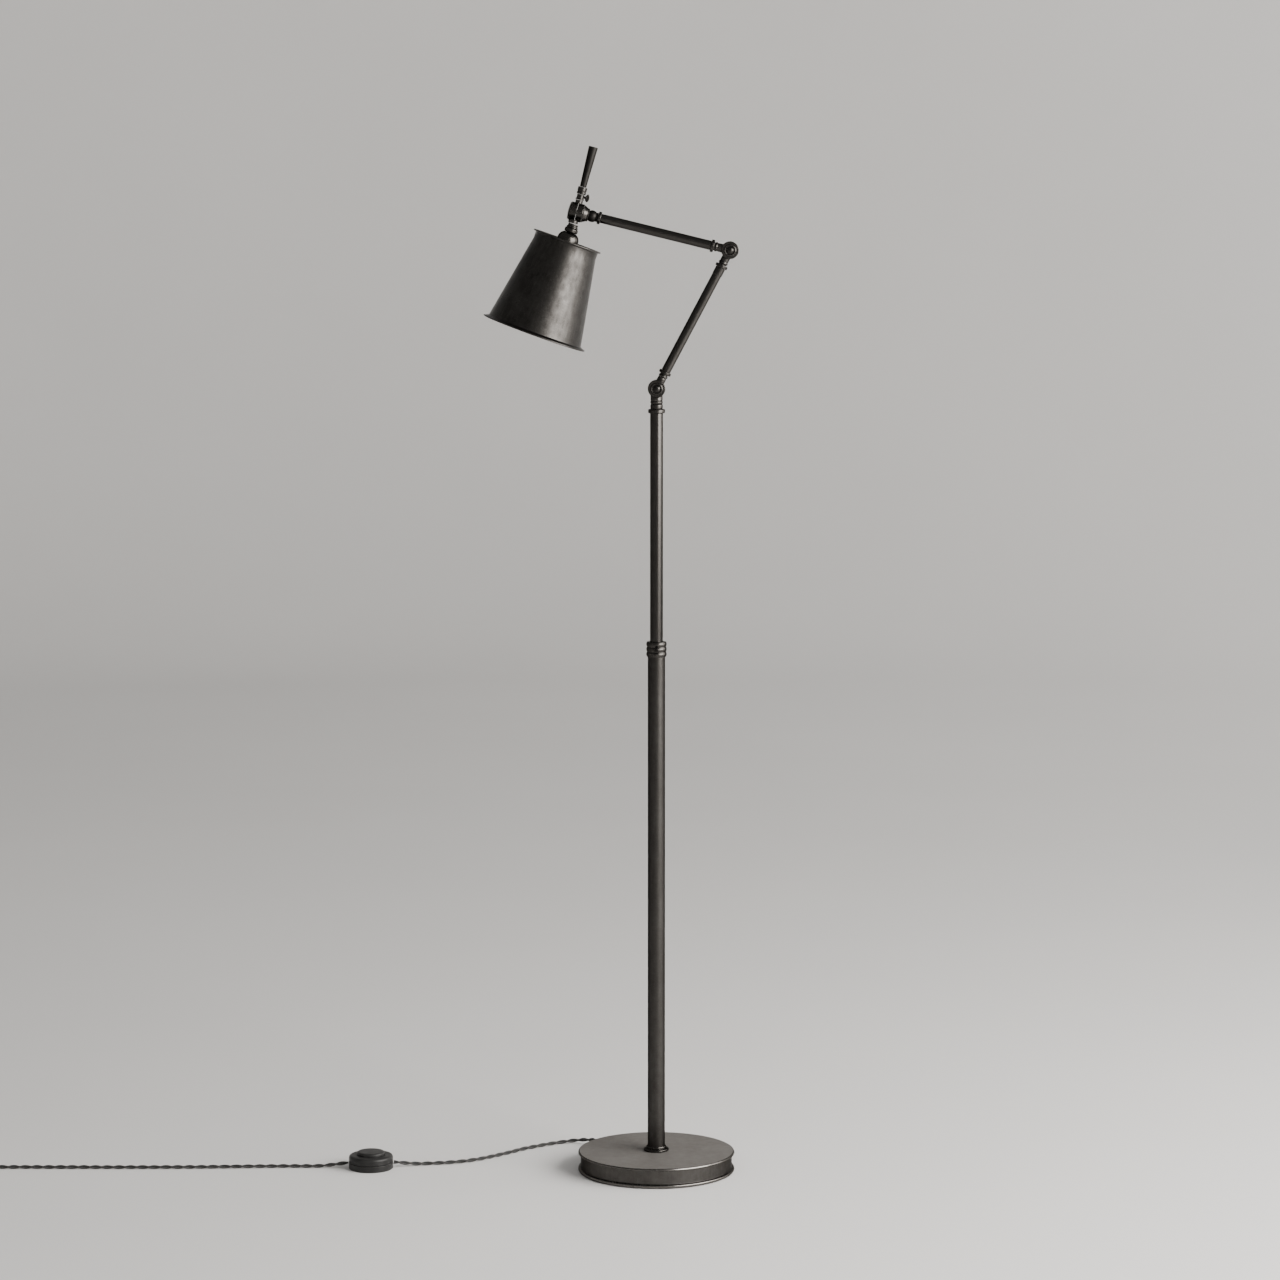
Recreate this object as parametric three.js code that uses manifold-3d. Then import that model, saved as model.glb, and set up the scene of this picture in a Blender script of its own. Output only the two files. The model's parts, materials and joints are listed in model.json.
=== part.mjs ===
// Adjustable arm floor lamp: a weighted round base, a telescopic post, two arms
// joined by friction knuckles, and a metal shade that tilts on a ball and turns
// on a hub. Its cord carries a foot switch and ends in a plug.
// Millimetres, +Z up. The origin is the middle of the base's underside, on the
// post's axis. At rest both arms lie in the XZ plane, with the shade at -X.
import * as THREE from "three";
import { mergeVertices } from "three/addons/utils/BufferGeometryUtils.js";
import Module from "manifold-3d";

const wasm = await Module();
wasm.setup();

// ---- driving dimensions ----
const GAP = 0.3; // left between pieces that touch
const FINE = 36; // sides of a large round
const MEDIUM = 20; // sides of a tube
const COARSE = 12; // sides of a small fitting

const BASE_RADIUS = 120;
const BASE_HEIGHT = 31;
const BASE_SHEET = 1.5;
const RIM_OVERHANG = 4;
const FELT_THICKNESS = 3;
const CORD_OUTLET_ANGLE = THREE.MathUtils.degToRad(122);
const CORD_OUTLET_HEIGHT = 12;
const STRAIN_RELIEF_LENGTH = 24;

const LOWER_TUBE_RADIUS = 13.2;
const UPPER_TUBE_RADIUS = 9.75;
const POST_WALL = 1.5;
const COLLAR_RADIUS = 15.6;
const COLLAR_BOTTOM = 793.6;
const COLLAR_TOP = 816.6;
const CLAMP_HEIGHT = 804.6;
const POST_TOP = 1163.4;
const SWIVEL_HEIGHT = 1177.3;
const UPPER_TUBE_BOTTOM = 550;
const STOP_LENGTH = 30;
const GUIDE_BOTTOM = 740;
const SWIVEL_BORE = 5.3;
const CAP_PLUG_LENGTH = 20;

const KNUCKLE_HEIGHT = 1200.7;
const KNUCKLE_RADIUS = 13.3;
const KNUCKLE_HALF_WIDTH = 10;
const KNUCKLE_SPLIT = 0.7;
const WASHER_HALF = 0.4;
const PIVOT_RADIUS = 3;
const SCREW_SEAT = KNUCKLE_HALF_WIDTH - 0.8;

const ARM_RADIUS = 7.05;
const ARM_WALL = 1;
const ARM_ONE_LENGTH = 236;
const ARM_ONE_LEAN = THREE.MathUtils.degToRad(27.9);
const ARM_TWO_LENGTH = 213.8;
const ARM_TWO_LEAN = THREE.MathUtils.degToRad(-76.2);
const RING_RADIUS = 9.5;
const RING_LENGTH = 4.6;
const RING_OFFSET = 27.2;
const STEM_RADIUS = 6.5;
const SPIGOT_LENGTH = 12;

const BALL_RADIUS = 9;
const BALL_TO_HUB = 24.3;
const HEAD_LEAN = THREE.MathUtils.degToRad(-75.2);
const HUB_RADIUS = 14;
const HUB_HALF_WIDTH = 10;

const SHADE_LEAN = THREE.MathUtils.degToRad(20);
const SHADE_OFFSET = 2;
const SHADE_TOP = -45;
const SHADE_LENGTH = 149;
const SHADE_TOP_RADIUS = 49.6;
const SHADE_MOUTH_RADIUS = 73.5;
const SHADE_SHEET = 1.2;
const TOP_LIP_RADIUS = 53.5;
const MOUTH_LIP_RADIUS = 81;
const BULB_CAP_RIM = -91;

const SWITCH_X = -439;
const SWITCH_Y = 12;
const SWITCH_RADIUS = 34;
const SWITCH_SEAM = 10;
const SWITCH_HEIGHT = 23;
const BUTTON_RADIUS = 21.4;
const BUTTON_TOP = 26.8;

const CORD_RADIUS = 3;
const CORD_SIDES = 8;
const CORD_LIE = 3.1; // height of a lying cord's centre
const CORD_STEP = 17;
const COIL_X = -1085;
const COIL_Y = -32;
const COIL_INNER = 24;
const COIL_OUTER = 42.3;
const COIL_BOTTOM = 1.4;
const COIL_TOP = 18.6;
const TIE_WIDTH = 8;

// ---- materials ----
const BRONZE = { color: 0x3a3630, roughness: 0.42, metalness: 0.9 };
const DARK_BRONZE = { color: 0x26241f, roughness: 0.35, metalness: 0.9 };
const CAST_IRON = { color: 0x3b3b3d, roughness: 0.8, metalness: 0.6 };
const STEEL = { color: 0x9a9a98, roughness: 0.35, metalness: 1 };
const BRASS = { color: 0xb08d4a, roughness: 0.35, metalness: 1 };
const NYLON = { color: 0xd8d4c8, roughness: 0.5, metalness: 0 };
const FELT = { color: 0x1f1f1f, roughness: 0.95, metalness: 0 };
const RUBBER = { color: 0x161616, roughness: 0.7, metalness: 0 };
const PLASTIC = { color: 0x232425, roughness: 0.45, metalness: 0 };
const BRAID = { color: 0x1c1b1a, roughness: 0.85, metalness: 0 };
const GLASS = { color: 0xf2efe6, roughness: 0.1, metalness: 0 };

// ---- helpers ----
function mesh(name, geometry, look) {
  const piece = new THREE.Mesh(geometry, new THREE.MeshStandardMaterial(look));
  piece.name = name;
  return piece;
}

function group(...pieces) {
  const holder = new THREE.Group();
  holder.add(...pieces);
  return holder;
}

// A solid of revolution about Z. The outline is [radius, height] points, outside
// edge upwards; one that leaves the axis is closed back to its first point.
function turned(outline, sides = MEDIUM) {
  const points = outline.map(([radius, height]) => new THREE.Vector2(radius, height));
  const onAxis = outline[0][0] === 0 && outline.at(-1)[0] === 0;
  if (!onAxis) points.push(points[0].clone());
  return new THREE.LatheGeometry(points, sides).rotateX(Math.PI / 2);
}

// A round bar or, with a bore, a tube along Z.
function bar(radius, bottom, top, sides = MEDIUM, bore = 0) {
  const outline = [[bore, bottom], [radius, bottom], [radius, top], [bore, top]];
  return turned(outline, sides);
}

// A hexagonal nut along Z with a round bore.
function hexNut(radius, bottom, top, bore) {
  return cut(bar(radius, bottom, top, 6), bar(bore, bottom - 1, top + 1, COARSE));
}

function alongY(geometry) {
  return geometry.rotateX(Math.PI / 2); // +Z becomes -Y
}

function alongX(geometry) {
  return geometry.rotateY(Math.PI / 2); // +Z becomes +X
}

function solid(geometry) {
  const bare = geometry.clone();
  bare.deleteAttribute("normal");
  bare.deleteAttribute("uv");
  const merged = mergeVertices(bare, 1e-4);
  return new wasm.Manifold(new wasm.Mesh({
    numProp: 3,
    vertProperties: new Float32Array(merged.attributes.position.array),
    triVerts: new Uint32Array(merged.index.array),
  }));
}

function surface(manifold) {
  const { vertProperties, triVerts } = manifold.getMesh();
  const geometry = new THREE.BufferGeometry();
  geometry.setAttribute("position", new THREE.BufferAttribute(vertProperties, 3));
  geometry.setIndex(new THREE.BufferAttribute(triVerts, 1));
  geometry.computeVertexNormals();
  return geometry;
}

function cut(geometry, ...tools) {
  const body = tools.reduce((left, tool) => left.subtract(solid(tool)), solid(geometry));
  return surface(body);
}

function join(...geometries) {
  return surface(geometries.map(solid).reduce((sum, next) => sum.add(next)));
}

// ---- base ----
function baseCover() {
  const wall = BASE_RADIUS - RIM_OVERHANG;
  const under = BASE_HEIGHT - BASE_SHEET;
  const inside = wall - BASE_SHEET;
  const cover = turned([
    [wall, 6.2], [wall, 27], [BASE_RADIUS - 1, 28.6], [BASE_RADIUS, 29.4],
    [BASE_RADIUS, 30.4], [BASE_RADIUS - 0.8, BASE_HEIGHT], [5.3, BASE_HEIGHT],
    [5.3, under], [inside, under], [inside, 1.2], [BASE_RADIUS - 1.2, 1.2],
    [BASE_RADIUS, 2.4], [BASE_RADIUS, 4], [BASE_RADIUS - 1.6, 5.2],
  ], FINE);
  const outlet = alongX(bar(4.9, 90, 130, COARSE));
  return cut(cover, atOutlet(outlet));
}

// Turns a piece made along +X to where the cord leaves the base.
function atOutlet(geometry) {
  return geometry.rotateZ(CORD_OUTLET_ANGLE).translate(0, 0, CORD_OUTLET_HEIGHT);
}

function baseWeight() {
  const radius = BASE_RADIUS - RIM_OVERHANG - BASE_SHEET - 1;
  const bottom = FELT_THICKNESS + GAP;
  const top = BASE_HEIGHT - BASE_SHEET - GAP;
  const nutPocket = 14.5;
  const casting = turned([
    [16, bottom], [radius - 1.5, bottom], [radius, bottom + 1.5], [radius, top - 2.5],
    [radius - 2.5, top], [5.3, top], [5.3, nutPocket], [16, nutPocket],
  ], FINE);
  const channelWidth = 14;
  const channel = new THREE.BoxGeometry(120, channelWidth, 18).translate(70, 0, 0);
  return cut(casting, atOutlet(channel));
}

function strainRelief() {
  const wall = BASE_RADIUS - RIM_OVERHANG;
  const tip = wall + STRAIN_RELIEF_LENGTH;
  return atOutlet(alongX(turned([
    [0, wall - 6], [6.2, wall - 6], [6.2, wall - 2.4], [4.6, wall - 2.4],
    [4.6, wall + GAP], [5.5, wall + GAP], [5.5, wall + 2.5], [4.8, wall + 3.5],
    [3.6, tip], [0, tip],
  ], COARSE)));
}

function baseAssembly() {
  const feltRadius = 112;
  const footRing = turned([
    [13.5, BASE_HEIGHT + GAP], [18.4, BASE_HEIGHT + GAP], [19.2, 32.2], [19.2, 34],
    [18.2, 35], [15.4, 35.4], [15.6, 37.6], [14.8, 39], [13.5, 39],
  ]);
  return group(
    mesh("base_cover", baseCover(), BRONZE),
    mesh("base_weight", baseWeight(), CAST_IRON),
    mesh("base_felt", bar(feltRadius, 0, FELT_THICKNESS, FINE), FELT),
    mesh("base_strain_relief", strainRelief(), RUBBER),
    mesh("base_rod", bar(4.9, 4.5, 58, COARSE, 3.2), STEEL),
    mesh("base_nut", hexNut(9.2, 5.2, 11.9, 5.3), STEEL),
    mesh("foot_ring", footRing, BRONZE),
  );
}

// ---- telescopic post ----
function collar() {
  const step = COLLAR_BOTTOM + 6.3;
  const groove = COLLAR_RADIUS - 0.9;
  const bore = UPPER_TUBE_RADIUS + GAP;
  const sleeve = turned([
    [LOWER_TUBE_RADIUS + GAP, COLLAR_BOTTOM], [14.6, COLLAR_BOTTOM],
    [COLLAR_RADIUS, COLLAR_BOTTOM + 1], [COLLAR_RADIUS, 798],
    [groove, 798.4], [groove, 799.2], [COLLAR_RADIUS, 799.6], [COLLAR_RADIUS, 808.6],
    [groove, 809], [groove, 809.8], [COLLAR_RADIUS, 810.2],
    [COLLAR_RADIUS, COLLAR_TOP - 1.4], [14.2, COLLAR_TOP], [bore, COLLAR_TOP],
    [bore, step], [LOWER_TUBE_RADIUS + GAP, step],
  ]);
  const screwHole = alongY(bar(2.5, 5, 25, COARSE)).translate(0, 0, CLAMP_HEIGHT);
  return cut(sleeve, screwHole);
}

function clampScrew() {
  const tip = UPPER_TUBE_RADIUS + GAP + 0.05;
  const seat = COLLAR_RADIUS + GAP;
  const screw = alongY(turned([
    [0, tip], [2.2, tip], [2.2, seat], [3.4, seat], [3.8, seat + 0.6],
    [3.8, seat + 4.2], [3.2, seat + 5], [0, seat + 5],
  ], COARSE));
  const slot = new THREE.BoxGeometry(10, 2.4, 1).translate(0, -seat - 5, 0);
  return cut(screw, slot).translate(0, 0, CLAMP_HEIGHT);
}

function postAssembly() {
  const bushBore = UPPER_TUBE_RADIUS + GAP;
  const bushRadius = LOWER_TUBE_RADIUS - POST_WALL - GAP;
  const bushTop = COLLAR_BOTTOM + 6;
  const tubeBottom = BASE_HEIGHT + GAP;
  const lowerBore = LOWER_TUBE_RADIUS - POST_WALL;
  const lowerTube = bar(LOWER_TUBE_RADIUS, tubeBottom, bushTop, MEDIUM, lowerBore);
  const upperBore = UPPER_TUBE_RADIUS - POST_WALL;
  const upperTube = bar(UPPER_TUBE_RADIUS, UPPER_TUBE_BOTTOM, POST_TOP, MEDIUM, upperBore);
  const stopTop = UPPER_TUBE_BOTTOM + STOP_LENGTH;
  const stopBush = bar(bushRadius, UPPER_TUBE_BOTTOM, stopTop, MEDIUM, bushBore);
  return group(
    mesh("tube_spigot", bar(bushRadius, tubeBottom, 60, COARSE, 5.2), STEEL),
    mesh("lower_tube", lowerTube, BRONZE),
    mesh("guide_bush", bar(bushRadius, GUIDE_BOTTOM, bushTop, MEDIUM, bushBore), NYLON),
    mesh("telescopic_collar", collar(), BRONZE),
    mesh("collar_screw", clampScrew(), DARK_BRONZE),
    mesh("upper_tube", upperTube, BRONZE),
    mesh("stop_bush", stopBush, NYLON),
    mesh("post_cap", postCap(), BRONZE),
  );
}

// The plug in the top of the post, with a flange and a bead, which holds the swivel pin.
function postCap() {
  const plugRadius = UPPER_TUBE_RADIUS - POST_WALL - GAP;
  const flange = POST_TOP + GAP;
  const bore = SWIVEL_BORE;
  const plugBottom = POST_TOP - CAP_PLUG_LENGTH;
  return turned([
    [bore, plugBottom], [plugRadius, plugBottom], [plugRadius, flange],
    [12, flange], [12.8, flange + 0.8], [12.8, flange + 5.2], [12, flange + 6],
    [8.9, flange + 6.4], [9.5, flange + 7.6], [9.5, flange + 11.6],
    [8.6, flange + 12.6], [7.8, SWIVEL_HEIGHT], [bore, SWIVEL_HEIGHT],
  ]);
}

// ---- friction knuckles ----
// One half of a knuckle about Y at the origin: a disc on one side of the split
// plane and a stem along +Z, cleared where the other half's disc turns. The side
// is -1 for the half at -Y and +1 for the half at +Y.
function knuckleHalf(side, stem) {
  const boss = KNUCKLE_HALF_WIDTH;
  const face = boss - 1.6;
  const bore = PIVOT_RADIUS + GAP;
  const disc = turned([
    [bore, KNUCKLE_SPLIT], [KNUCKLE_RADIUS, KNUCKLE_SPLIT], [KNUCKLE_RADIUS, face - 0.6],
    [KNUCKLE_RADIUS - 0.6, face], [9.3, face], [9, boss - 0.6], [8.2, boss], [7.2, boss],
    [6.6, SCREW_SEAT], [bore, SCREW_SEAT],
  ]).rotateX(side < 0 ? Math.PI / 2 : -Math.PI / 2);
  const sweep = KNUCKLE_RADIUS + 0.6;
  const clearance = new THREE.CylinderGeometry(sweep, sweep, 40, MEDIUM);
  clearance.translate(0, side * (KNUCKLE_SPLIT - 20), 0);
  const pivotHole = new THREE.CylinderGeometry(bore, bore, 60, MEDIUM);
  const cleared = cut(stem, clearance, pivotHole);
  return join(disc, cleared);
}

// A stem that ends in a spigot, for the end of an arm tube.
function armStem() {
  const shoulder = RING_OFFSET - RING_LENGTH / 2 - GAP;
  const spigot = ARM_RADIUS - ARM_WALL - GAP;
  const tip = RING_OFFSET + RING_LENGTH / 2 + SPIGOT_LENGTH;
  return turned([
    [0, 6], [STEM_RADIUS, 6], [STEM_RADIUS, shoulder - 3.4], [STEM_RADIUS + 0.8, shoulder - 2.4],
    [STEM_RADIUS + 0.8, shoulder - 1], [STEM_RADIUS, shoulder], [spigot, shoulder],
    [spigot, tip], [0, tip],
  ], COARSE);
}

// The bead under the first knuckle, with the pin that turns in the post cap.
function swivelStem() {
  const seat = KNUCKLE_HEIGHT - SWIVEL_HEIGHT - GAP;
  const pin = SWIVEL_BORE - GAP;
  const tip = KNUCKLE_HEIGHT - POST_TOP + CAP_PLUG_LENGTH + 4;
  return turned([
    [0, 6], [9.3, 6], [9.3, seat - 2], [8.6, seat - 1], [7.8, seat - 0.6], [7.8, seat],
    [pin, seat], [pin, tip], [0, tip],
  ], MEDIUM);
}

// The domed screw through a knuckle, with its head at -Y.
function pivotScrew() {
  const seat = SCREW_SEAT + 0.1;
  const end = -SCREW_SEAT - 3.6;
  return alongY(turned([
    [0, end], [PIVOT_RADIUS, end], [PIVOT_RADIUS, seat], [5.7, seat], [5.7, seat + 1],
    [4.6, seat + 2.6], [2.5, seat + 3.5], [0, seat + 3.8],
  ], COARSE));
}

function pivotNut() {
  const face = SCREW_SEAT + GAP;
  return alongY(hexNut(5.6, face, face + 3.6, PIVOT_RADIUS + GAP)).rotateZ(Math.PI);
}

// The screw, nut and friction washer of one knuckle.
function pivotSet(name) {
  const washer = alongY(bar(9, -WASHER_HALF, WASHER_HALF, COARSE, PIVOT_RADIUS + GAP));
  return [
    mesh(`${name}_screw`, pivotScrew(), DARK_BRONZE),
    mesh(`${name}_nut`, pivotNut(), DARK_BRONZE),
    mesh(`${name}_washer`, washer, NYLON),
  ];
}

// ---- arms ----
function armRing(centre) {
  const low = centre - RING_LENGTH / 2;
  const high = centre + RING_LENGTH / 2;
  const bore = ARM_RADIUS - ARM_WALL;
  return turned([
    [bore, low], [RING_RADIUS - 0.6, low], [RING_RADIUS, low + 0.6],
    [RING_RADIUS, high - 0.6], [RING_RADIUS - 0.6, high], [bore, high],
  ], COARSE);
}

function armTube(bottom, top) {
  return bar(ARM_RADIUS, bottom + GAP, top - GAP, COARSE, ARM_RADIUS - ARM_WALL);
}

function armOne() {
  const ringEdge = RING_OFFSET + RING_LENGTH / 2;
  const farRing = ARM_ONE_LENGTH - RING_OFFSET;
  const elbowHalf = knuckleHalf(1, armStem()).rotateY(Math.PI);
  elbowHalf.translate(0, 0, ARM_ONE_LENGTH);
  const arm = group(
    mesh("arm_one_knuckle", knuckleHalf(-1, armStem()), BRONZE),
    mesh("arm_one_lower_ring", armRing(RING_OFFSET), BRONZE),
    mesh("arm_one_tube", armTube(ringEdge, ARM_ONE_LENGTH - ringEdge), BRONZE),
    mesh("arm_one_upper_ring", armRing(farRing), BRONZE),
    mesh("elbow_rear_half", elbowHalf, BRONZE),
  );
  arm.position.z = KNUCKLE_HEIGHT;
  arm.rotation.y = ARM_ONE_LEAN;
  const elbow = armTwo();
  elbow.position.z = ARM_ONE_LENGTH;
  elbow.rotation.y = ARM_TWO_LEAN - ARM_ONE_LEAN;
  arm.add(elbow);
  return arm;
}

// The ball at the end of the second arm, on a spigot like a stem's.
function tiltBall() {
  const neck = ARM_TWO_LENGTH - 6.6;
  const shoulder = ARM_TWO_LENGTH - 13.7 + RING_LENGTH + GAP;
  const spigot = ARM_RADIUS - ARM_WALL - GAP;
  const ball = [];
  const start = Math.asin(-6.2 / BALL_RADIUS);
  const steps = 8;
  for (let i = 0; i <= steps; i += 1) {
    const angle = start + (Math.PI / 2 - start) * i / steps;
    ball.push([
      i === steps ? 0 : BALL_RADIUS * Math.cos(angle),
      ARM_TWO_LENGTH + BALL_RADIUS * Math.sin(angle),
    ]);
  }
  return turned([
    [0, shoulder - SPIGOT_LENGTH - RING_LENGTH], [spigot, shoulder - SPIGOT_LENGTH - RING_LENGTH],
    [spigot, shoulder], [7.4, shoulder], [6.8, neck], ...ball,
  ], COARSE);
}

function armTwo() {
  const ringEdge = RING_OFFSET + RING_LENGTH / 2;
  const headRing = ARM_TWO_LENGTH - 13.7 + RING_LENGTH / 2;
  const headRingEdge = headRing - RING_LENGTH / 2;
  const arm = group(
    mesh("elbow_front_half", knuckleHalf(-1, armStem()), BRONZE),
    ...pivotSet("elbow"),
    mesh("arm_two_elbow_ring", armRing(RING_OFFSET), BRONZE),
    mesh("arm_two_tube", armTube(ringEdge, headRingEdge), BRONZE),
    mesh("arm_two_head_ring", armRing(headRing), BRONZE),
    mesh("tilt_ball", tiltBall(), DARK_BRONZE),
  );
  const head = headAssembly();
  head.position.z = ARM_TWO_LENGTH;
  head.rotation.y = HEAD_LEAN - ARM_TWO_LEAN;
  arm.add(head);
  return arm;
}

// ---- head hub ----
// In the head's own frame the ball is at the origin, +Z runs along the hub's axis
// away from the arm, and +X is the handle's direction.
function ballCup() {
  const face = BALL_TO_HUB - HUB_HALF_WIDTH - GAP;
  const cone = turned([
    [0, 5.2], [9.2, 5.2], [9.6, 6], [HUB_RADIUS - 0.7, face - 1.2],
    [HUB_RADIUS - 0.7, face], [0, face],
  ]);
  const seat = new THREE.SphereGeometry(BALL_RADIUS + GAP, MEDIUM, COARSE);
  const tapping = bar(PIVOT_RADIUS + GAP, face - 4.4, face + 5, COARSE);
  return cut(cone, seat, tapping);
}

function hubFixedDisc() {
  const near = BALL_TO_HUB - HUB_HALF_WIDTH;
  const bore = PIVOT_RADIUS + GAP;
  return turned([
    [bore, near], [HUB_RADIUS - 0.6, near], [HUB_RADIUS, near + 0.6],
    [HUB_RADIUS, BALL_TO_HUB - 1], [HUB_RADIUS - 0.5, BALL_TO_HUB - 0.5], [bore, BALL_TO_HUB - 0.5],
  ]);
}

// The turning half of the hub, with the bosses that carry the handle and the shade.
function hubTurningDisc() {
  const split = BALL_TO_HUB + 0.2;
  const face = BALL_TO_HUB + HUB_HALF_WIDTH;
  const disc = turned([
    [PIVOT_RADIUS + GAP, split], [HUB_RADIUS - 0.5, split], [HUB_RADIUS, split + 0.5],
    [HUB_RADIUS, face - 0.8], [HUB_RADIUS - 0.8, face], [5.9, face], [5.9, face - 4],
    [PIVOT_RADIUS + GAP, face - 4],
  ]);
  const middle = BALL_TO_HUB;
  const handleBoss = alongX(bar(5.6, 7, 18.6, COARSE)).translate(0, 0, middle);
  const shadeBoss = alongX(bar(7.5, 7, 17.6, COARSE)).rotateY(Math.PI);
  shadeBoss.translate(0, 0, middle + 1);
  const sweep = HUB_RADIUS + 0.5;
  const clearance = bar(sweep, split - 30, split, FINE);
  return join(disc, cut(handleBoss, clearance), cut(shadeBoss, clearance));
}

function hubScrew() {
  const face = BALL_TO_HUB + HUB_HALF_WIDTH;
  const tip = BALL_TO_HUB - HUB_HALF_WIDTH - GAP - 4;
  return turned([
    [0, tip], [PIVOT_RADIUS, tip], [PIVOT_RADIUS, face - 3.7], [5.5, face - 3.7],
    [5.5, face - 0.6], [0, face - 0.6],
  ], COARSE);
}

function hubDomeCap() {
  const face = BALL_TO_HUB + HUB_HALF_WIDTH + GAP;
  return turned([
    [0, face], [13, face], [12.6, face + 0.7], [9.5, face + 1.7], [5, face + 2.3],
    [0, face + 2.5],
  ]);
}

// ---- handle ----
// Made along +Z from the hub's centre, then laid along the head's +X.
function onHandleAxis(geometry) {
  return alongX(geometry).translate(0, 0, BALL_TO_HUB);
}

function handlePieces() {
  const thumbHeight = 24;
  const neck = turned([
    [0, 19], [6.6, 19], [6.6, 20.4], [5.5, 21.2], [5.5, 27.2], [0, 27.2],
  ], COARSE);
  const screwHole = new THREE.CylinderGeometry(2.2, 2.2, 10, COARSE);
  screwHole.rotateZ(Math.PI / 2).translate(8, 0, thumbHeight);
  const collarPiece = turned([
    [0, 27.5], [6.3, 27.5], [7, 28.2], [7, 30.6], [6.4, 31.2], [6.4, 32], [7, 32.6],
    [7, 37.9], [6.3, 38.6], [0, 38.6],
  ], COARSE);
  const grip = turned([
    [0, 38.9], [4.5, 38.9], [4.9, 39.6], [7, 100.2], [6.4, 101], [0, 101],
  ], COARSE);
  const thumbScrew = thumbScrewShape().translate(0, 0, thumbHeight);
  return [
    mesh("handle_neck", onHandleAxis(cut(neck, screwHole)), BRONZE),
    mesh("handle_collar", onHandleAxis(collarPiece), BRONZE),
    mesh("handle_grip", onHandleAxis(grip), DARK_BRONZE),
    mesh("thumb_screw", onHandleAxis(thumbScrew), DARK_BRONZE),
  ];
}

// A winged screw along +X: a shank in the neck and a flat oval wing outside it.
function thumbScrewShape() {
  const shank = new THREE.CylinderGeometry(1.9, 1.9, 5, COARSE);
  shank.rotateZ(Math.PI / 2).translate(5.9, 0, 0);
  const outline = new THREE.Shape();
  outline.absellipse(10.6, 0, 3.2, 6, 0, 2 * Math.PI);
  const wing = new THREE.ExtrudeGeometry(outline, {
    depth: 2.6, bevelEnabled: false, curveSegments: 10,
  });
  wing.rotateX(Math.PI / 2).translate(0, 1.3, 0);
  return join(shank, wing);
}

// ---- shade ----
// In the shade's own frame the origin is on its axis beside the hub's centre, and
// the shade hangs down -Z.
function shadeStem() {
  return turned([
    [0, -57], [5, -57], [5, -32.2], [8.8, -32.2], [10.2, -31.2], [10.2, -26.8],
    [9.2, -25.6], [8.2, -25], [9, -24.2], [8.6, -22.9], [7.6, -22.3], [7.6, -18.6],
    [0, -18.6],
  ]);
}

function bellCap() {
  const bottom = SHADE_TOP - 1.7;
  return turned([
    [5.3, bottom], [16.6, bottom], [16.4, -41], [14.8, -36.5], [12, -33.6], [9.6, -32.5],
    [5.3, -32.5],
  ]);
}

function shadeShell() {
  const mouth = SHADE_TOP - SHADE_LENGTH;
  const plate = SHADE_TOP - 2;
  const bandEnd = -58;
  const flareStart = mouth + 5;
  return turned([
    [SHADE_MOUTH_RADIUS, flareStart], [SHADE_TOP_RADIUS, bandEnd], [SHADE_TOP_RADIUS, -47.6],
    [TOP_LIP_RADIUS - 0.7, -47.2], [TOP_LIP_RADIUS, -46.4], [TOP_LIP_RADIUS - 0.4, SHADE_TOP],
    [TOP_LIP_RADIUS - 1.8, SHADE_TOP], [SHADE_TOP_RADIUS + 0.6, plate], [5.3, plate],
    [5.3, plate - SHADE_SHEET], [SHADE_TOP_RADIUS - SHADE_SHEET, plate - SHADE_SHEET],
    [SHADE_TOP_RADIUS - SHADE_SHEET, bandEnd],
    [SHADE_MOUTH_RADIUS - SHADE_SHEET, flareStart - 0.8],
    [MOUTH_LIP_RADIUS - 1.6, mouth], [MOUTH_LIP_RADIUS, mouth + 0.6],
    [MOUTH_LIP_RADIUS - 0.2, mouth + 2.2], [MOUTH_LIP_RADIUS - 1.6, mouth + 2.2],
  ], FINE);
}

function lampholder() {
  const top = -52.3;
  const rim = -92;
  return turned([
    [13.8, rim], [17.6, rim], [17.6, rim + 6], [19, rim + 7], [19, top - 8], [14, top],
    [5.3, top], [5.3, top - 6], [13.8, top - 9],
  ]);
}

// A round bulb's thin shell, open at the top of its neck.
function bulb() {
  const neckTop = BULB_CAP_RIM - 0.4;
  const centre = -134;
  const skin = (radius, neckRadius) => {
    const shoulder = Math.acos(neckRadius / radius);
    const steps = 6;
    const points = [[0, centre - radius]];
    for (let i = 1; i <= steps; i += 1) {
      const angle = (shoulder + Math.PI / 2) * i / steps - Math.PI / 2;
      points.push([radius * Math.cos(angle), centre + radius * Math.sin(angle)]);
    }
    points.push([neckRadius, neckTop]);
    return points;
  };
  const inner = skin(27, 11.6).reverse();
  return turned([...skin(28, 12.6), ...inner], MEDIUM);
}

function shadeAssembly() {
  const bulbCap = turned([
    [0, BULB_CAP_RIM], [13.2, BULB_CAP_RIM], [13.2, -68], [6, -64.5], [0, -64.5],
  ], COARSE);
  const ringNut = hexNut(13, SHADE_TOP - 7, SHADE_TOP - 3.5, 5.4);
  const shade = group(
    mesh("shade_stem", shadeStem(), BRONZE),
    mesh("bell_cap", bellCap(), BRONZE),
    mesh("shade", shadeShell(), BRONZE),
    mesh("shade_ring_nut", ringNut, BRASS),
    mesh("lampholder", lampholder(), PLASTIC),
    mesh("bulb_cap", bulbCap, STEEL),
    mesh("bulb_glass", bulb(), GLASS),
  );
  return shade;
}

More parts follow.
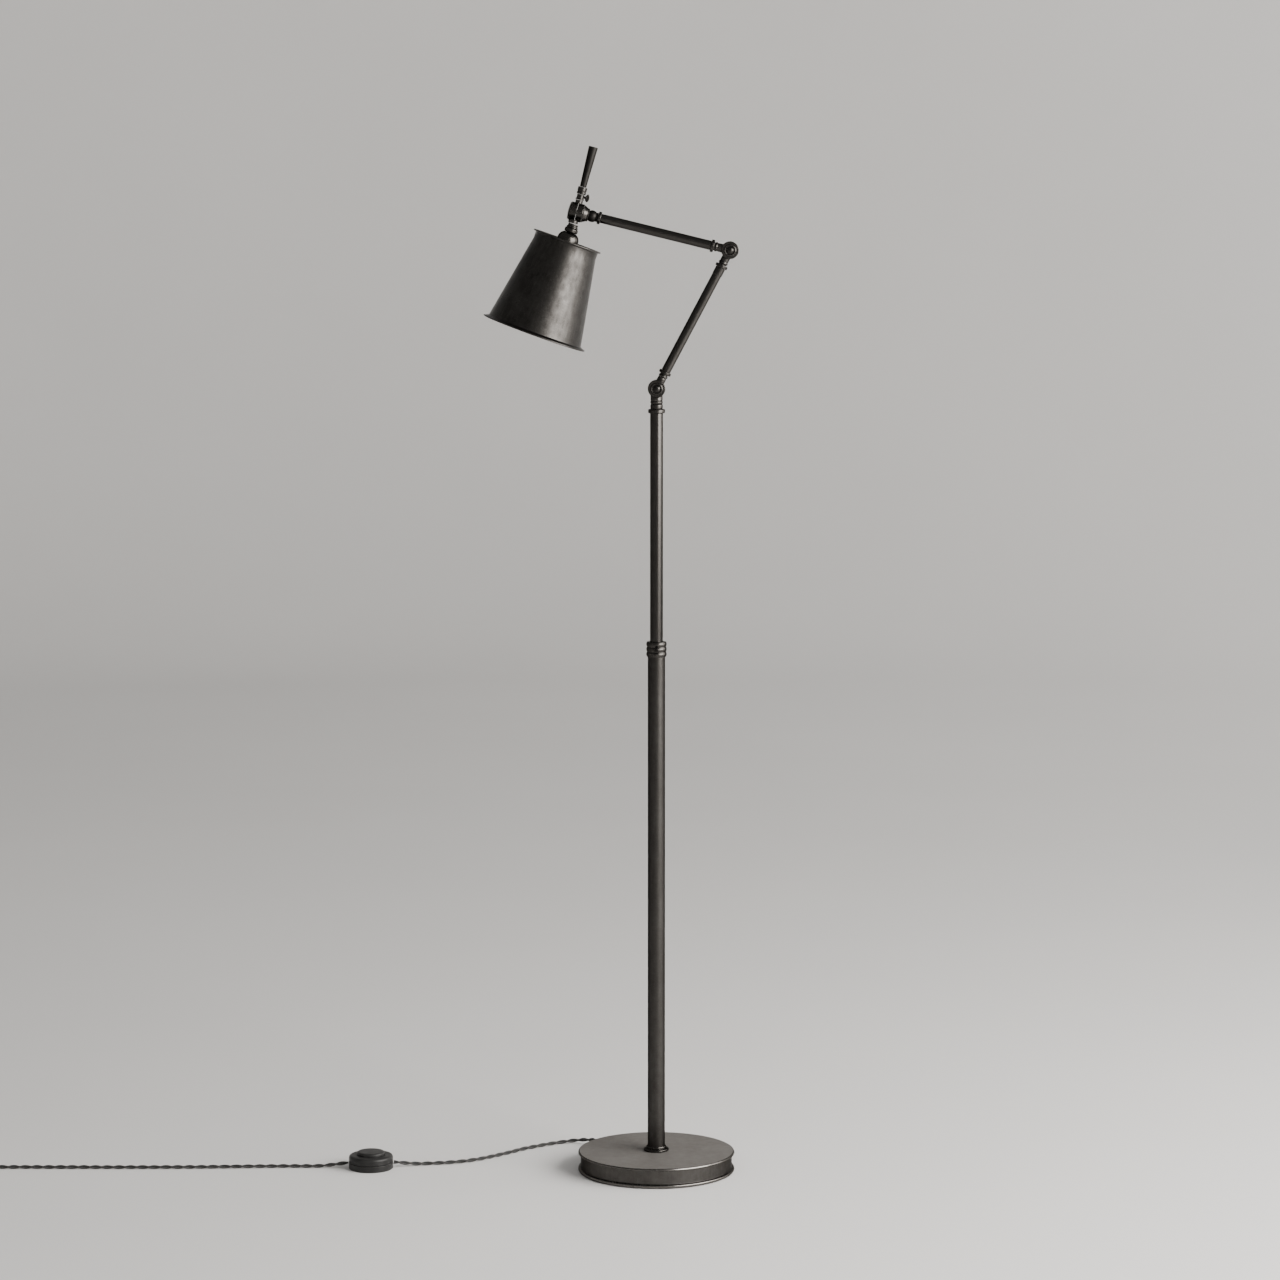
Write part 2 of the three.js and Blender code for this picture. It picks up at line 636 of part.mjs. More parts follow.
function headAssembly() {
  const head = group(
    mesh("ball_cup", ballCup(), BRONZE),
    mesh("hub_fixed_disc", hubFixedDisc(), BRONZE),
    mesh("hub_screw", hubScrew(), STEEL),
    mesh("hub_turning_disc", hubTurningDisc(), BRONZE),
    mesh("hub_dome_cap", hubDomeCap(), BRONZE),
    ...handlePieces(),
  );
  const shade = shadeAssembly();
  shade.position.set(0, 0, BALL_TO_HUB - SHADE_OFFSET);
  shade.rotation.y = SHADE_LEAN - HEAD_LEAN;
  head.add(shade);
  return head;
}

// ---- foot switch ----
function footSwitch() {
  const inside = SWITCH_RADIUS - 2.5;
  const lowerShell = turned([
    [0, 0], [SWITCH_RADIUS - 1, 0], [SWITCH_RADIUS, 1], [SWITCH_RADIUS, SWITCH_SEAM],
    [inside, SWITCH_SEAM], [inside, 2.2], [0, 2.2],
  ], FINE);
  const opening = BUTTON_RADIUS + 0.4;
  const cover = turned([
    [inside, SWITCH_SEAM + GAP], [SWITCH_RADIUS, SWITCH_SEAM + GAP], [SWITCH_RADIUS, 20.4],
    [SWITCH_RADIUS - 0.8, 22.2], [SWITCH_RADIUS - 2.6, SWITCH_HEIGHT], [opening, SWITCH_HEIGHT],
    [opening, SWITCH_HEIGHT - 2.2], [inside, SWITCH_HEIGHT - 2.2],
  ], FINE);
  const button = turned([
    [0, 15], [24, 15], [24, 17], [BUTTON_RADIUS, 17], [BUTTON_RADIUS, BUTTON_TOP - 1],
    [BUTTON_RADIUS - 1, BUTTON_TOP], [0, BUTTON_TOP],
  ]);
  const mechanism = new THREE.BoxGeometry(30, 18, 7).translate(0, 0, 6.2);
  const foot = group(
    mesh("switch_lower_shell", lowerShell, PLASTIC),
    mesh("switch_cover", cover, PLASTIC),
    mesh("switch_button", button, PLASTIC),
    mesh("switch_mechanism", mechanism, NYLON),
  );
  foot.position.set(SWITCH_X, SWITCH_Y, 0);
  return foot;
}

// ---- cord ----
// Free routes, from the strain relief to the switch, and from the switch to the coil.
const RELIEF_TIP = BASE_RADIUS - RIM_OVERHANG + STRAIN_RELIEF_LENGTH + GAP;
const ROUTE_TO_SWITCH = [
  [RELIEF_TIP * Math.cos(CORD_OUTLET_ANGLE), RELIEF_TIP * Math.sin(CORD_OUTLET_ANGLE), 12],
  [-80, 129, 11.8],
  [-87, 141, 11.2],
  [-97, 154, 9.6],
  [-110, 165, 7.4],
  [-125, 170.5, 5.2],
  [-140, 169, 3.8],
  [-155, 163, 3.2],
  [-171, 153, CORD_LIE],
  [-189, 139, CORD_LIE],
  [-207, 124, CORD_LIE],
  [-227, 102, CORD_LIE],
  [-247, 82, CORD_LIE],
  [-270, 61, CORD_LIE],
  [-295, 45, CORD_LIE],
  [-320, 36, CORD_LIE],
  [-344, 31, CORD_LIE],
  [-366, 26, 3.6],
  [-386, 20, 6],
  [SWITCH_X + SWITCH_RADIUS + 0.9, SWITCH_Y + 4, 8.6],
];
const COIL_ENTRY = COIL_X + 23;
const ROUTE_TO_COIL = [
  [SWITCH_X - SWITCH_RADIUS - 0.9, SWITCH_Y, 8.8],
  [-492, 12, 6.2],
  [-512, 12.4, 3.8],
  [-534, 13, CORD_LIE],
  [-570, 13, CORD_LIE],
  [-615, 11.5, CORD_LIE],
  [-665, 9, CORD_LIE],
  [-720, 7, CORD_LIE],
  [-780, 6, CORD_LIE],
  [-840, 6, CORD_LIE],
  [-900, 6.5, CORD_LIE],
  [-960, 7, CORD_LIE],
  [-1010, 7, CORD_LIE],
  [-1040, 7, 3.6],
  [COIL_ENTRY, 7, 4.5],
];
const PLUG_X = -1073;
const PLUG_LENGTH = 46;
const PLUG_WIDTH = 48;
const PLUG_THICKNESS = 19;
const PLUG_Y = -106;
const PLUG_ENTRY = PLUG_X - PLUG_LENGTH / 2;
const TAIL = [
  [COIL_X - 39, COIL_Y - 23.4, 13],
  [COIL_X - 39, COIL_Y - 35, 12],
  [COIL_X - 37, COIL_Y - 48, 11],
  [COIL_X - 31, COIL_Y - 61, 10],
  [COIL_X - 22, PLUG_Y + 3, 9.6],
  [PLUG_ENTRY - 7, PLUG_Y, 9.5],
  [PLUG_ENTRY - GAP, PLUG_Y, 9.5],
];

// A plain round tube through a list of points.
function cordAlong(points) {
  const curve = new THREE.CatmullRomCurve3(points.map((point) => new THREE.Vector3(...point)));
  const section = new THREE.Shape();
  for (let i = 0; i < CORD_SIDES; i += 1) {
    const angle = (2 * Math.PI * i) / CORD_SIDES;
    const corner = [CORD_RADIUS * Math.cos(angle), CORD_RADIUS * Math.sin(angle)];
    if (i === 0) section.moveTo(...corner);
    else section.lineTo(...corner);
  }
  const steps = Math.max(3, Math.round(curve.getLength() / CORD_STEP));
  return new THREE.ExtrudeGeometry(section, { steps, extrudePath: curve, bevelEnabled: false });
}

// The coil's outer shape is a ring with chamfered edges.
function coilRing() {
  const chamfer = 3;
  return turned([
    [COIL_INNER, COIL_BOTTOM + chamfer], [COIL_INNER + chamfer, COIL_BOTTOM],
    [COIL_OUTER - chamfer, COIL_BOTTOM], [COIL_OUTER, COIL_BOTTOM + chamfer],
    [COIL_OUTER, COIL_TOP - chamfer], [COIL_OUTER - chamfer, COIL_TOP],
    [COIL_INNER + chamfer, COIL_TOP], [COIL_INNER, COIL_TOP - chamfer],
  ], MEDIUM);
}

// A strap round the coil's section, at its +X side.
function coilTie() {
  const inner = COIL_INNER - 1.1;
  const outer = COIL_OUTER + GAP;
  const strap = 0.9;
  const loop = new THREE.Shape();
  loop.moveTo(inner - strap, COIL_BOTTOM - GAP - strap);
  loop.lineTo(outer + strap, COIL_BOTTOM - GAP - strap);
  loop.lineTo(outer + strap, COIL_TOP + GAP + strap);
  loop.lineTo(inner - strap, COIL_TOP + GAP + strap);
  const window = new THREE.Path();
  window.moveTo(inner, COIL_BOTTOM - GAP);
  window.lineTo(inner, COIL_TOP + GAP);
  window.lineTo(outer, COIL_TOP + GAP);
  window.lineTo(outer, COIL_BOTTOM - GAP);
  loop.holes.push(window);
  const strapLoop = new THREE.ExtrudeGeometry(loop, { depth: TIE_WIDTH, bevelEnabled: false });
  return strapLoop.rotateX(Math.PI / 2).translate(0, TIE_WIDTH / 2, 0);
}

// A three-pin plug lying on its back: a body with its flat pins up.
function plug() {
  const half = PLUG_WIDTH / 2;
  const outline = new THREE.Shape();
  outline.moveTo(-half, -PLUG_LENGTH / 2);
  outline.lineTo(half, -PLUG_LENGTH / 2);
  outline.lineTo(half, 4);
  outline.lineTo(9, PLUG_LENGTH / 2);
  outline.lineTo(-9, PLUG_LENGTH / 2);
  outline.lineTo(-half, 4);
  const shell = new THREE.ExtrudeGeometry(outline, {
    depth: PLUG_THICKNESS, bevelEnabled: false,
  });
  const pinLength = 18;
  const pin = (width, depth, x, y) => {
    const blade = new THREE.BoxGeometry(width, depth, pinLength + 4);
    return blade.translate(x, y, PLUG_THICKNESS + pinLength / 2 - 2);
  };
  const earth = pin(4, 8, 0, -15);
  return join(shell, earth, pin(6.4, 4, -11, 7), pin(6.4, 4, 11, 7));
}

function cordAssembly() {
  const coil = group(
    mesh("cord_coil", coilRing(), BRAID),
    mesh("cord_tie", coilTie(), RUBBER),
  );
  coil.position.set(COIL_X, COIL_Y, 0);
  const plugPiece = mesh("plug", plug(), PLASTIC);
  plugPiece.position.set(PLUG_X, PLUG_Y, 0);
  plugPiece.rotation.z = Math.PI / 2;
  return group(
    mesh("cord_to_switch", cordAlong(ROUTE_TO_SWITCH), BRAID),
    mesh("cord_to_coil", cordAlong(ROUTE_TO_COIL), BRAID),
    coil,
    mesh("cord_tail", cordAlong(TAIL), BRAID),
    plugPiece,
  );
}

// ---- the lamp ----
function firstKnuckle() {
  const rearHalf = knuckleHalf(1, swivelStem()).rotateY(Math.PI);
  const knuckle = group(
    mesh("knuckle_rear_half", rearHalf, BRONZE),
    ...pivotSet("knuckle"),
  );
  knuckle.position.z = KNUCKLE_HEIGHT;
  const clipTop = POST_TOP - CAP_PLUG_LENGTH - GAP;
  const clip = bar(7.2, clipTop - 2.6, clipTop, COARSE, SWIVEL_BORE);
  return group(knuckle, mesh("swivel_clip", clip, STEEL));
}

const lamp = group(
  baseAssembly(),
  postAssembly(),
  firstKnuckle(),
  armOne(),
  footSwitch(),
  cordAssembly(),
);

export default lamp;
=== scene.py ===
"""Looks of the adjustable arm floor lamp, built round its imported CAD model.

Outlines are [radius, height] in millimetres, in the frame of the part that they
belong to. Everything in Blender is in metres, and MM converts.
"""

import json
from math import acos, asin, cos, pi, radians, sin

import bmesh
import bpy
from mathutils import Matrix, Vector


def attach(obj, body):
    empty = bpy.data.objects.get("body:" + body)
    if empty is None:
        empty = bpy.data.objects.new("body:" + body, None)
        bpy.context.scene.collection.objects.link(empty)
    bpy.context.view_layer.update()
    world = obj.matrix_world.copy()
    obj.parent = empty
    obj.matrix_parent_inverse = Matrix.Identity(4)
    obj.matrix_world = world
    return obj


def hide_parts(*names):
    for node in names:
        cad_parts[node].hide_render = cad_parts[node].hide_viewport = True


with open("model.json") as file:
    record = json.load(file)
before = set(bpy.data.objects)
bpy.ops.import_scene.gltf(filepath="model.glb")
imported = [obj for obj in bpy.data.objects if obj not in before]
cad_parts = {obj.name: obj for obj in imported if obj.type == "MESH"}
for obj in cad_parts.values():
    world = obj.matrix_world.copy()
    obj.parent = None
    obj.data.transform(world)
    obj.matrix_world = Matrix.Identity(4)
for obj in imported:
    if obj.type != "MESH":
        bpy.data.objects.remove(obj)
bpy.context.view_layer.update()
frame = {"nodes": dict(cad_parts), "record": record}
scene = bpy.context.scene

MM = 0.001
LARGE = 192  # sides of the base and the shade
MEDIUM = 96  # sides of the tubes
SMALL = 64  # sides of a small fitting

# ---- driving dimensions, as in the CAD ----
GAP = 0.3  # clearance between neighbours
BASE_RADIUS = 120
BASE_HEIGHT = 31
BASE_WALL = 116
BASE_SHEET = 1.5
BASE_ROD_RADIUS = 5
FELT_RADIUS = 112
FELT_THICKNESS = 3
CORD_OUTLET_ANGLE = radians(122)
CORD_OUTLET_HEIGHT = 12
STRAIN_RELIEF_LENGTH = 24
STRAIN_RELIEF_NECK = 4.6

LOWER_TUBE_RADIUS = 13.2
UPPER_TUBE_RADIUS = 9.75
POST_WALL = 1.5
COLLAR_RADIUS = 15.6
COLLAR_BOTTOM = 793.6
COLLAR_TOP = 816.6
COLLAR_STEP = 6  # how far the lower tube reaches into the collar
CLAMP_HEIGHT = 804.6
CLAMP_RADIUS = 2.2
UPPER_TUBE_BOTTOM = 550
POST_TOP = 1163.4
SWIVEL_HEIGHT = 1177.3
SWIVEL_PIN_RADIUS = 5

KNUCKLE_HEIGHT = 1200.7
KNUCKLE_RADIUS = 13.3
KNUCKLE_HALF_WIDTH = 10
KNUCKLE_SPLIT = 0.7
SCREW_SEAT = 9.2
PIVOT_RADIUS = 3

ARM_RADIUS = 7.05
ARM_BORE = 6.05
ARM_ONE_LENGTH = 236
ARM_ONE_LEAN = radians(27.9)
ARM_TWO_LENGTH = 213.8
ARM_TWO_LEAN = radians(-76.2)
RING_RADIUS = 9.5
RING_LENGTH = 4.6
RING_OFFSET = 27.2
HEAD_RING_OFFSET = 13.7  # from the ring's lower face to the ball's centre
STEM_RADIUS = 6.5

BALL_RADIUS = 9
BALL_TO_HUB = 24.3
HEAD_LEAN = radians(-75.2)
HUB_RADIUS = 14
HUB_HALF_WIDTH = 10
CUP_RIM = 7.4  # the cup is darker from its mouth to here

SHADE_LEAN = radians(20)
SHADE_OFFSET = 2
SHADE_TOP = -45
SHADE_LENGTH = 149
SHADE_TOP_RADIUS = 49.6
SHADE_MOUTH_RADIUS = 73.5
SHADE_SHEET = 1.2
SHADE_STEM_RADIUS = 5
TOP_LIP_RADIUS = 53.5
MOUTH_LIP_RADIUS = 81
BULB_CAP_RIM = -91

SWITCH_X = -439
SWITCH_Y = 12
SWITCH_RADIUS = 34
SWITCH_SEAM = 10
SWITCH_HEIGHT = 23
BUTTON_RADIUS = 21.4
BUTTON_TOP = 26.8

CORD_STEP = 2  # between the points of a cord's line
STRAND_RADIUS = 1.58
STRAND_OFFSET = 1.5
CORD_LIE = 3.1
COIL_X = -1085
COIL_Y = -32
COIL_INNER = 24
COIL_OUTER = 42.3
COIL_BOTTOM = 1.4
COIL_TOP = 18.6
TIE_WIDTH = 8
TIE_THICKNESS = 0.9
TIE_CORNER = 2.2
PLUG_X = -1073
PLUG_Y = -106
PLUG_LENGTH = 46
PLUG_WIDTH = 48
PLUG_THICKNESS = 19

# ---- where each part stands ----
def raised(height):
    return Matrix.Translation((0, 0, height * MM))


def leaned(angle):
    return Matrix.Rotation(angle, 4, "Y")


FLOOR = Matrix()
KNUCKLE = raised(KNUCKLE_HEIGHT)
ARM_ONE = KNUCKLE @ leaned(ARM_ONE_LEAN)
ELBOW = ARM_ONE @ raised(ARM_ONE_LENGTH)
ARM_TWO = ELBOW @ leaned(ARM_TWO_LEAN - ARM_ONE_LEAN)
HEAD = ARM_TWO @ raised(ARM_TWO_LENGTH) @ leaned(HEAD_LEAN - ARM_TWO_LEAN)
SHADE = HEAD @ raised(BALL_TO_HUB - SHADE_OFFSET) @ leaned(SHADE_LEAN - HEAD_LEAN)
HANDLE = HEAD @ raised(BALL_TO_HUB) @ leaned(pi / 2)
SWITCH = Matrix.Translation((SWITCH_X * MM, SWITCH_Y * MM, 0))

Z_TO_FRONT = Matrix.Rotation(pi / 2, 4, "X")  # +Z becomes -Y
Z_TO_BACK = Matrix.Rotation(-pi / 2, 4, "X")  # +Z becomes +Y
Z_TO_X = leaned(pi / 2)  # +Z becomes +X
Z_TO_MINUS_X = leaned(-pi / 2)
UPSIDE_DOWN = leaned(pi)


def put_in_scene(name, data):
    made = bpy.data.objects.new(name, data)
    scene.collection.objects.link(made)
    return made


# ---- camera ----
CAMERA_PLACE = (-0.025, -5.93, 1.486)
CAMERA_TIP = radians(4.87)
CAMERA_LENS = 110.5
CAMERA_SHIFT = -0.083


def make_camera():
    """A long lens near the height of the lamp's top, tipped down a little."""
    data = bpy.data.cameras.new("camera")
    data.lens = CAMERA_LENS
    data.shift_y = CAMERA_SHIFT
    data.clip_end = 100
    camera = put_in_scene("camera", data)
    camera.location = CAMERA_PLACE
    camera.rotation_euler = (pi / 2 - CAMERA_TIP, 0, 0)
    scene.camera = camera


make_camera()

# ---- record look-ups ----
record = frame["record"]
body_of = {}
for body, nodes in record["behaviour"]["bodies"].items():
    for node in nodes:
        body_of[node] = body


# ---- material helpers ----
SHADER = "Principled BSDF"
MATERIALS = {}


def add(tree, kind, inputs=(), **settings):
    """Adds a node. inputs pairs each socket's name or number with a value or a link."""
    made = tree.nodes.new(kind)
    for name, value in settings.items():
        setattr(made, name, value)
    for socket, value in dict(inputs).items():
        if isinstance(value, bpy.types.NodeSocket):
            tree.links.new(value, made.inputs[socket])
        else:
            made.inputs[socket].default_value = value
    return made


def new_material(name, **values):
    """Makes a material and returns its node tree. Plain values are set on its shader's
    sockets."""
    material = bpy.data.materials.new(name)
    MATERIALS[name] = material
    material.use_nodes = True
    tree = material.node_tree
    for socket, value in values.items():
        tree.nodes[SHADER].inputs[socket.replace("_", " ")].default_value = value
    return tree


def place_in(tree):
    """Coordinates in metres, which stay with the piece."""
    return add(tree, "ShaderNodeTexCoord").outputs["Object"]


def noise(tree, place, scale, detail=3, roughness=0.5):
    inputs = {"Vector": place, "Scale": scale, "Detail": detail, "Roughness": roughness}
    return add(tree, "ShaderNodeTexNoise", inputs).outputs["Fac"]


def stretched(tree, place, x, y, z):
    """Coordinates scaled along each axis."""
    inputs = {"Vector": place, "Scale": (x, y, z)}
    return add(tree, "ShaderNodeMapping", inputs).outputs["Vector"]


def maths(tree, operation, first, second=0.5):
    inputs = {0: first, 1: second}
    return add(tree, "ShaderNodeMath", inputs, operation=operation).outputs[0]


def product(tree, first, second):
    return maths(tree, "MULTIPLY", first, second)


def spread(tree, value, low, high, to_low=0.0, to_high=1.0):
    """Maps low..high to to_low..to_high, and clamps."""
    inputs = {0: value, 1: low, 2: high, 3: to_low, 4: to_high}
    return add(tree, "ShaderNodeMapRange", inputs).outputs[0]


def mix(tree, factor, first, second):
    """Blends two colours. The node's colour sockets are 6 and 7, and 2 on its way out."""
    inputs = {0: factor, 6: first, 7: second}
    return add(tree, "ShaderNodeMix", inputs, data_type="RGBA").outputs[2]


def bumped(tree, height, distance, strength=1.0, normal=None):
    inputs = {"Height": height, "Distance": distance, "Strength": strength}
    if normal is not None:
        inputs["Normal"] = normal
    return add(tree, "ShaderNodeBump", inputs).outputs["Normal"]


def worn_and_highlit_edges(tree):
    """The share of edge rubbing and painted highlight that each shape carries on its convex
    edges.
    """
    return add(tree, "ShaderNodeAttribute", attribute_name="wear_and_highlight").outputs["Fac"]


def link(tree, **sources):
    """Links values into the shader's sockets."""
    for socket, source in sources.items():
        tree.links.new(source, tree.nodes[SHADER].inputs[socket.replace("_", " ")])


def grey(value, warmth=0.0):
    """A colour near grey. Warmth lifts red and drops blue."""
    return (value * (1 + warmth), value, value * (1 - warmth), 1.0)


# ---- materials ----
def patinated(name, tone, rough, mottle=1.0, edge=3.0, glance=0.35, metallic=1.0):
    """Dark bronze with a cloudy patina, lighter along its convex edges: partly the patina
    rubbing off, partly a painted highlight. tone is the share of light that it reflects head on,
    glance the tint of what it reflects at a low angle, mottle how uneven it looks, and edge how
    much lighter its edges are."""
    tree = new_material(
        name, Metallic=metallic, Specular_Tint=grey(glance), Specular_IOR_Level=0.0
    )
    place = add(tree, "ShaderNodeAttribute", attribute_name="local").outputs["Vector"]
    clouds = noise(tree, place, 22, 4, 0.6)
    patches = noise(tree, place, 90, 6, 0.65)
    speckle = noise(tree, place, 520, 3, 0.6)
    streaks = noise(tree, stretched(tree, place, 210, 210, 22), 1, 4, 0.6)
    share = maths(tree, "ADD", product(tree, clouds, 0.4), product(tree, patches, 0.35))
    share = maths(tree, "ADD", share, product(tree, streaks, 0.25))
    swing = 0.28 * mottle
    dark, light = grey(tone * (1 - swing), 0.07), grey(tone * (1 + swing), 0.05)
    colour = mix(tree, spread(tree, share, 0.38, 0.62), dark, light)
    fleck = spread(tree, speckle, 0.52, 0.72, 0.0, 0.35 * mottle)
    colour = mix(tree, fleck, colour, grey(tone * 1.9, 0.05))
    # Convex edges are painted lighter: partly the patina rubbing off, partly a painted highlight.
    rubbed_and_highlit = product(tree, worn_and_highlit_edges(tree), spread(tree, patches, 0.36, 0.62, 0.2, 0.9))
    colour = mix(tree, rubbed_and_highlit, colour, grey(tone * edge, 0.06))
    sway = 0.05 * mottle
    dull = spread(tree, share, 0.38, 0.62, rough + sway, rough - sway)
    dull = maths(tree, "ADD", dull, spread(tree, speckle, 0.3, 0.7, -0.03, 0.05))
    normal = bumped(tree, patches, 0.0005, 0.25 * mottle)
    normal = bumped(tree, streaks, 0.0002, 0.25, normal)
    normal = bumped(tree, speckle, 0.00012, 0.3, normal)
    link(tree, Base_Color=colour, Roughness=dull, Normal=normal)


def plated(name, colour, rough):
    """Bright plated or turned metal with fine lathe lines."""
    tree = new_material(name, Metallic=1.0)
    place = place_in(tree)
    stain = noise(tree, place, 140, 4)
    lines = noise(tree, stretched(tree, place, 30, 30, 2600), 1, 2)
    dim = tuple(0.6 * part for part in colour[:3]) + (1.0,)
    shade = mix(tree, spread(tree, stain, 0.35, 0.65), dim, colour)
    dull = spread(tree, stain, 0.3, 0.7, rough - 0.06, rough + 0.1)
    normal = bumped(tree, lines, 0.00004, 0.4)
    link(tree, Base_Color=shade, Roughness=dull, Normal=normal)


def moulded(name, colour, rough, texture=900):
    """Moulded plastic or rubber with a fine even texture, and convex edges painted paler: partly
    rubbing, partly a painted highlight.
    """
    tree = new_material(name, Specular_IOR_Level=0.3)
    place = place_in(tree)
    dust = noise(tree, place, 60, 5, 0.6)
    skin = noise(tree, place, texture, 2)
    pale = tuple(min(1.0, part * 1.5 + 0.008) for part in colour[:3]) + (1.0,)
    shade = mix(tree, spread(tree, dust, 0.4, 0.75, 0.0, 0.6), colour, pale)
    # Paler convex edges: partly rubbing, partly a painted highlight.
    shade = mix(tree, product(tree, worn_and_highlit_edges(tree), 0.35), shade, pale)
    dull = spread(tree, dust, 0.3, 0.7, rough - 0.06, rough + 0.08)
    normal = bumped(tree, skin, 0.00008, 0.4)
    link(tree, Base_Color=shade, Roughness=dull, Normal=normal)


def cast_iron():
    tree = new_material("cast_iron", Metallic=0.6)
    place = place_in(tree)
    sand = noise(tree, place, 700, 4, 0.7)
    rust = noise(tree, place, 30, 5, 0.6)
    shade = mix(tree, spread(tree, rust, 0.45, 0.7), grey(0.07), (0.09, 0.05, 0.03, 1.0))
    link(tree, Base_Color=shade, Normal=bumped(tree, sand, 0.0004, 0.7))
    link(tree, Roughness=spread(tree, sand, 0.3, 0.7, 0.6, 0.9))


def felt():
    tree = new_material("felt", Sheen_Weight=0.6, Sheen_Roughness=0.5)
    place = place_in(tree)
    fibres = noise(tree, stretched(tree, place, 1400, 500, 1400), 1, 4, 0.7)
    lint = noise(tree, place, 50, 4)
    blend = product(tree, fibres, lint)
    shade = mix(tree, spread(tree, blend, 0.12, 0.4), grey(0.012), grey(0.04))
    link(tree, Base_Color=shade, Normal=bumped(tree, fibres, 0.0006, 0.8))
    link(tree, Roughness=spread(tree, fibres, 0.3, 0.7, 0.85, 1.0))


YARNS_ROUND_STRAND = 8
YARN_PITCH = 0.0013


def braid():
    """Woven textile sleeve: two sets of yarns that cross on the slant. They follow the
    strand's own coordinates: turns round it and metres along it."""
    tree = new_material("braid", Sheen_Weight=0.06, Sheen_Roughness=0.4)
    where = add(tree, "ShaderNodeUVMap", uv_map="strand").outputs["UV"]
    parts = add(tree, "ShaderNodeSeparateXYZ", {"Vector": where})
    around = product(tree, parts.outputs["X"], YARNS_ROUND_STRAND * 2 * pi)
    along = product(tree, parts.outputs["Y"], 2 * pi / YARN_PITCH)
    rising = maths(tree, "SINE", maths(tree, "ADD", around, along))
    falling = maths(tree, "SINE", maths(tree, "SUBTRACT", around, along))
    yarns = maths(tree, "MAXIMUM", rising, falling)
    weave = spread(tree, yarns, -1.0, 1.0)
    fuzz = noise(tree, place_in(tree), 2200, 3)
    fade = noise(tree, place_in(tree), 35, 3)
    # The yarns' crests are painted lighter and the grooves between them darker: painted highlight
    # and painted shade.
    blend = product(tree, weave, spread(tree, fuzz, 0.25, 0.75, 0.5, 1.0))
    shade = mix(tree, blend, grey(0.003, 0.04), grey(0.026, 0.06))
    shade = mix(tree, spread(tree, fade, 0.35, 0.7, 0.0, 0.35), shade, grey(0.012, 0.05))
    normal = bumped(tree, weave, 0.00025, 0.8)
    normal = bumped(tree, fuzz, 0.00012, 0.5, normal)
    link(tree, Base_Color=shade, Normal=normal)
    link(tree, Roughness=spread(tree, weave, 0.0, 1.0, 0.7, 0.38))


def opal_glass():
    tree = new_material(
        "opal_glass", IOR=1.5, Subsurface_Weight=0.3, Subsurface_Radius=(0.01, 0.01, 0.01)
    )
    place = place_in(tree)
    haze = noise(tree, place, 40, 3)
    shade = mix(tree, haze, (0.86, 0.85, 0.8, 1.0), (0.93, 0.92, 0.88, 1.0))
    link(tree, Base_Color=shade, Roughness=spread(tree, haze, 0.3, 0.7, 0.08, 0.16))
    link(tree, Normal=bumped(tree, haze, 0.0002, 0.1))


BRONZE = 0.044  # share of light that the patina reflects head on
patinated("post_bronze", BRONZE, 0.33, mottle=0.8)
patinated("base_bronze", 1.4 * BRONZE, 0.36, mottle=0.8)
# The base's top: a lighter, partly diffuse copy of the bronze, a painted sheen that stands for
# the bright reflection the plate catches.
patinated("painted_sheen_top_bronze", 3.0 * BRONZE, 0.42, 0.4, edge=1.3, glance=0.8, metallic=0.28)
patinated("tube_bronze", BRONZE, 0.22, mottle=0.5)
patinated("shade_bronze", 0.85 * BRONZE, 0.34, mottle=1.4, edge=2.5, glance=0.9)
patinated("fitting_bronze", BRONZE, 0.25, mottle=0.5, edge=1.4)
# A lighter copy of the bronze for the base's rims, a painted highlight along them.
patinated("rim_highlight_bronze", 2.3 * BRONZE, 0.24, mottle=0.6, edge=1.6)
patinated("black_bronze", 0.6 * BRONZE, 0.26, mottle=0.5, edge=2.0)
patinated("grip_bronze", 0.45 * BRONZE, 0.46, mottle=0.6, edge=2.0)
cast_iron()
plated("steel", grey(0.55), 0.28)
plated("brass", (0.62, 0.43, 0.17, 1.0), 0.25)
moulded("nylon", (0.74, 0.72, 0.66, 1.0), 0.45)
felt()
moulded("rubber", grey(0.012), 0.75)
moulded("plastic", grey(0.01, 0.02), 0.42, texture=1500)
braid()
opal_glass()


# ---- shape helpers ----
def rounded(outline, fillet, closed):
    """Rounds an outline's corners. Returns (radius, height, share) points, where the share of
    edge rubbing and painted highlight is 1 in the middle of a convex corner."""
    points = []
    count = len(outline)
    for index, spot in enumerate(outline):
        corner = Vector(spot)
        at_end = not closed and index in (0, count - 1)
        before = corner - Vector(outline[index - 1])
        after = Vector(outline[(index + 1) % count]) - corner
        turn = 0.0 if at_end else before.angle_signed(after) * -1
        if abs(turn) < radians(12):
            points.append((*spot, 0.0))
            continue
        cut = min(fillet, 0.45 * before.length, 0.45 * after.length)
        start = corner - before.normalized() * cut
        end = corner + after.normalized() * cut
        steps = max(2, round(abs(turn) / radians(20)))
        for step in range(steps + 1):
            t = step / steps
            point = start.lerp(corner, t).lerp(corner.lerp(end, t), t)
            wear_and_highlight = 4 * t * (1 - t) if turn > 0 else 0.0
            points.append((point.x, point.y, wear_and_highlight))
    return points


def arc(middle, radius, start, end, steps):
    """Points along an arc, in the same plane as its middle."""
    x, y = middle
    points = []
    for step in range(steps + 1):
        angle = start + (end - start) * step / steps
        points.append([x + radius * cos(angle), y + radius * sin(angle)])
    return points


def circle(shape, radius, height, sides):
    """Vertices round Z, or one on the axis where the radius is 0."""
    count = sides if radius > 0 else 1
    ring = []
    for index in range(count):
        angle = 2 * pi * index / count
        spot = (radius * cos(angle), radius * sin(angle), height)
        ring.append(shape.verts.new(spot))
    return ring


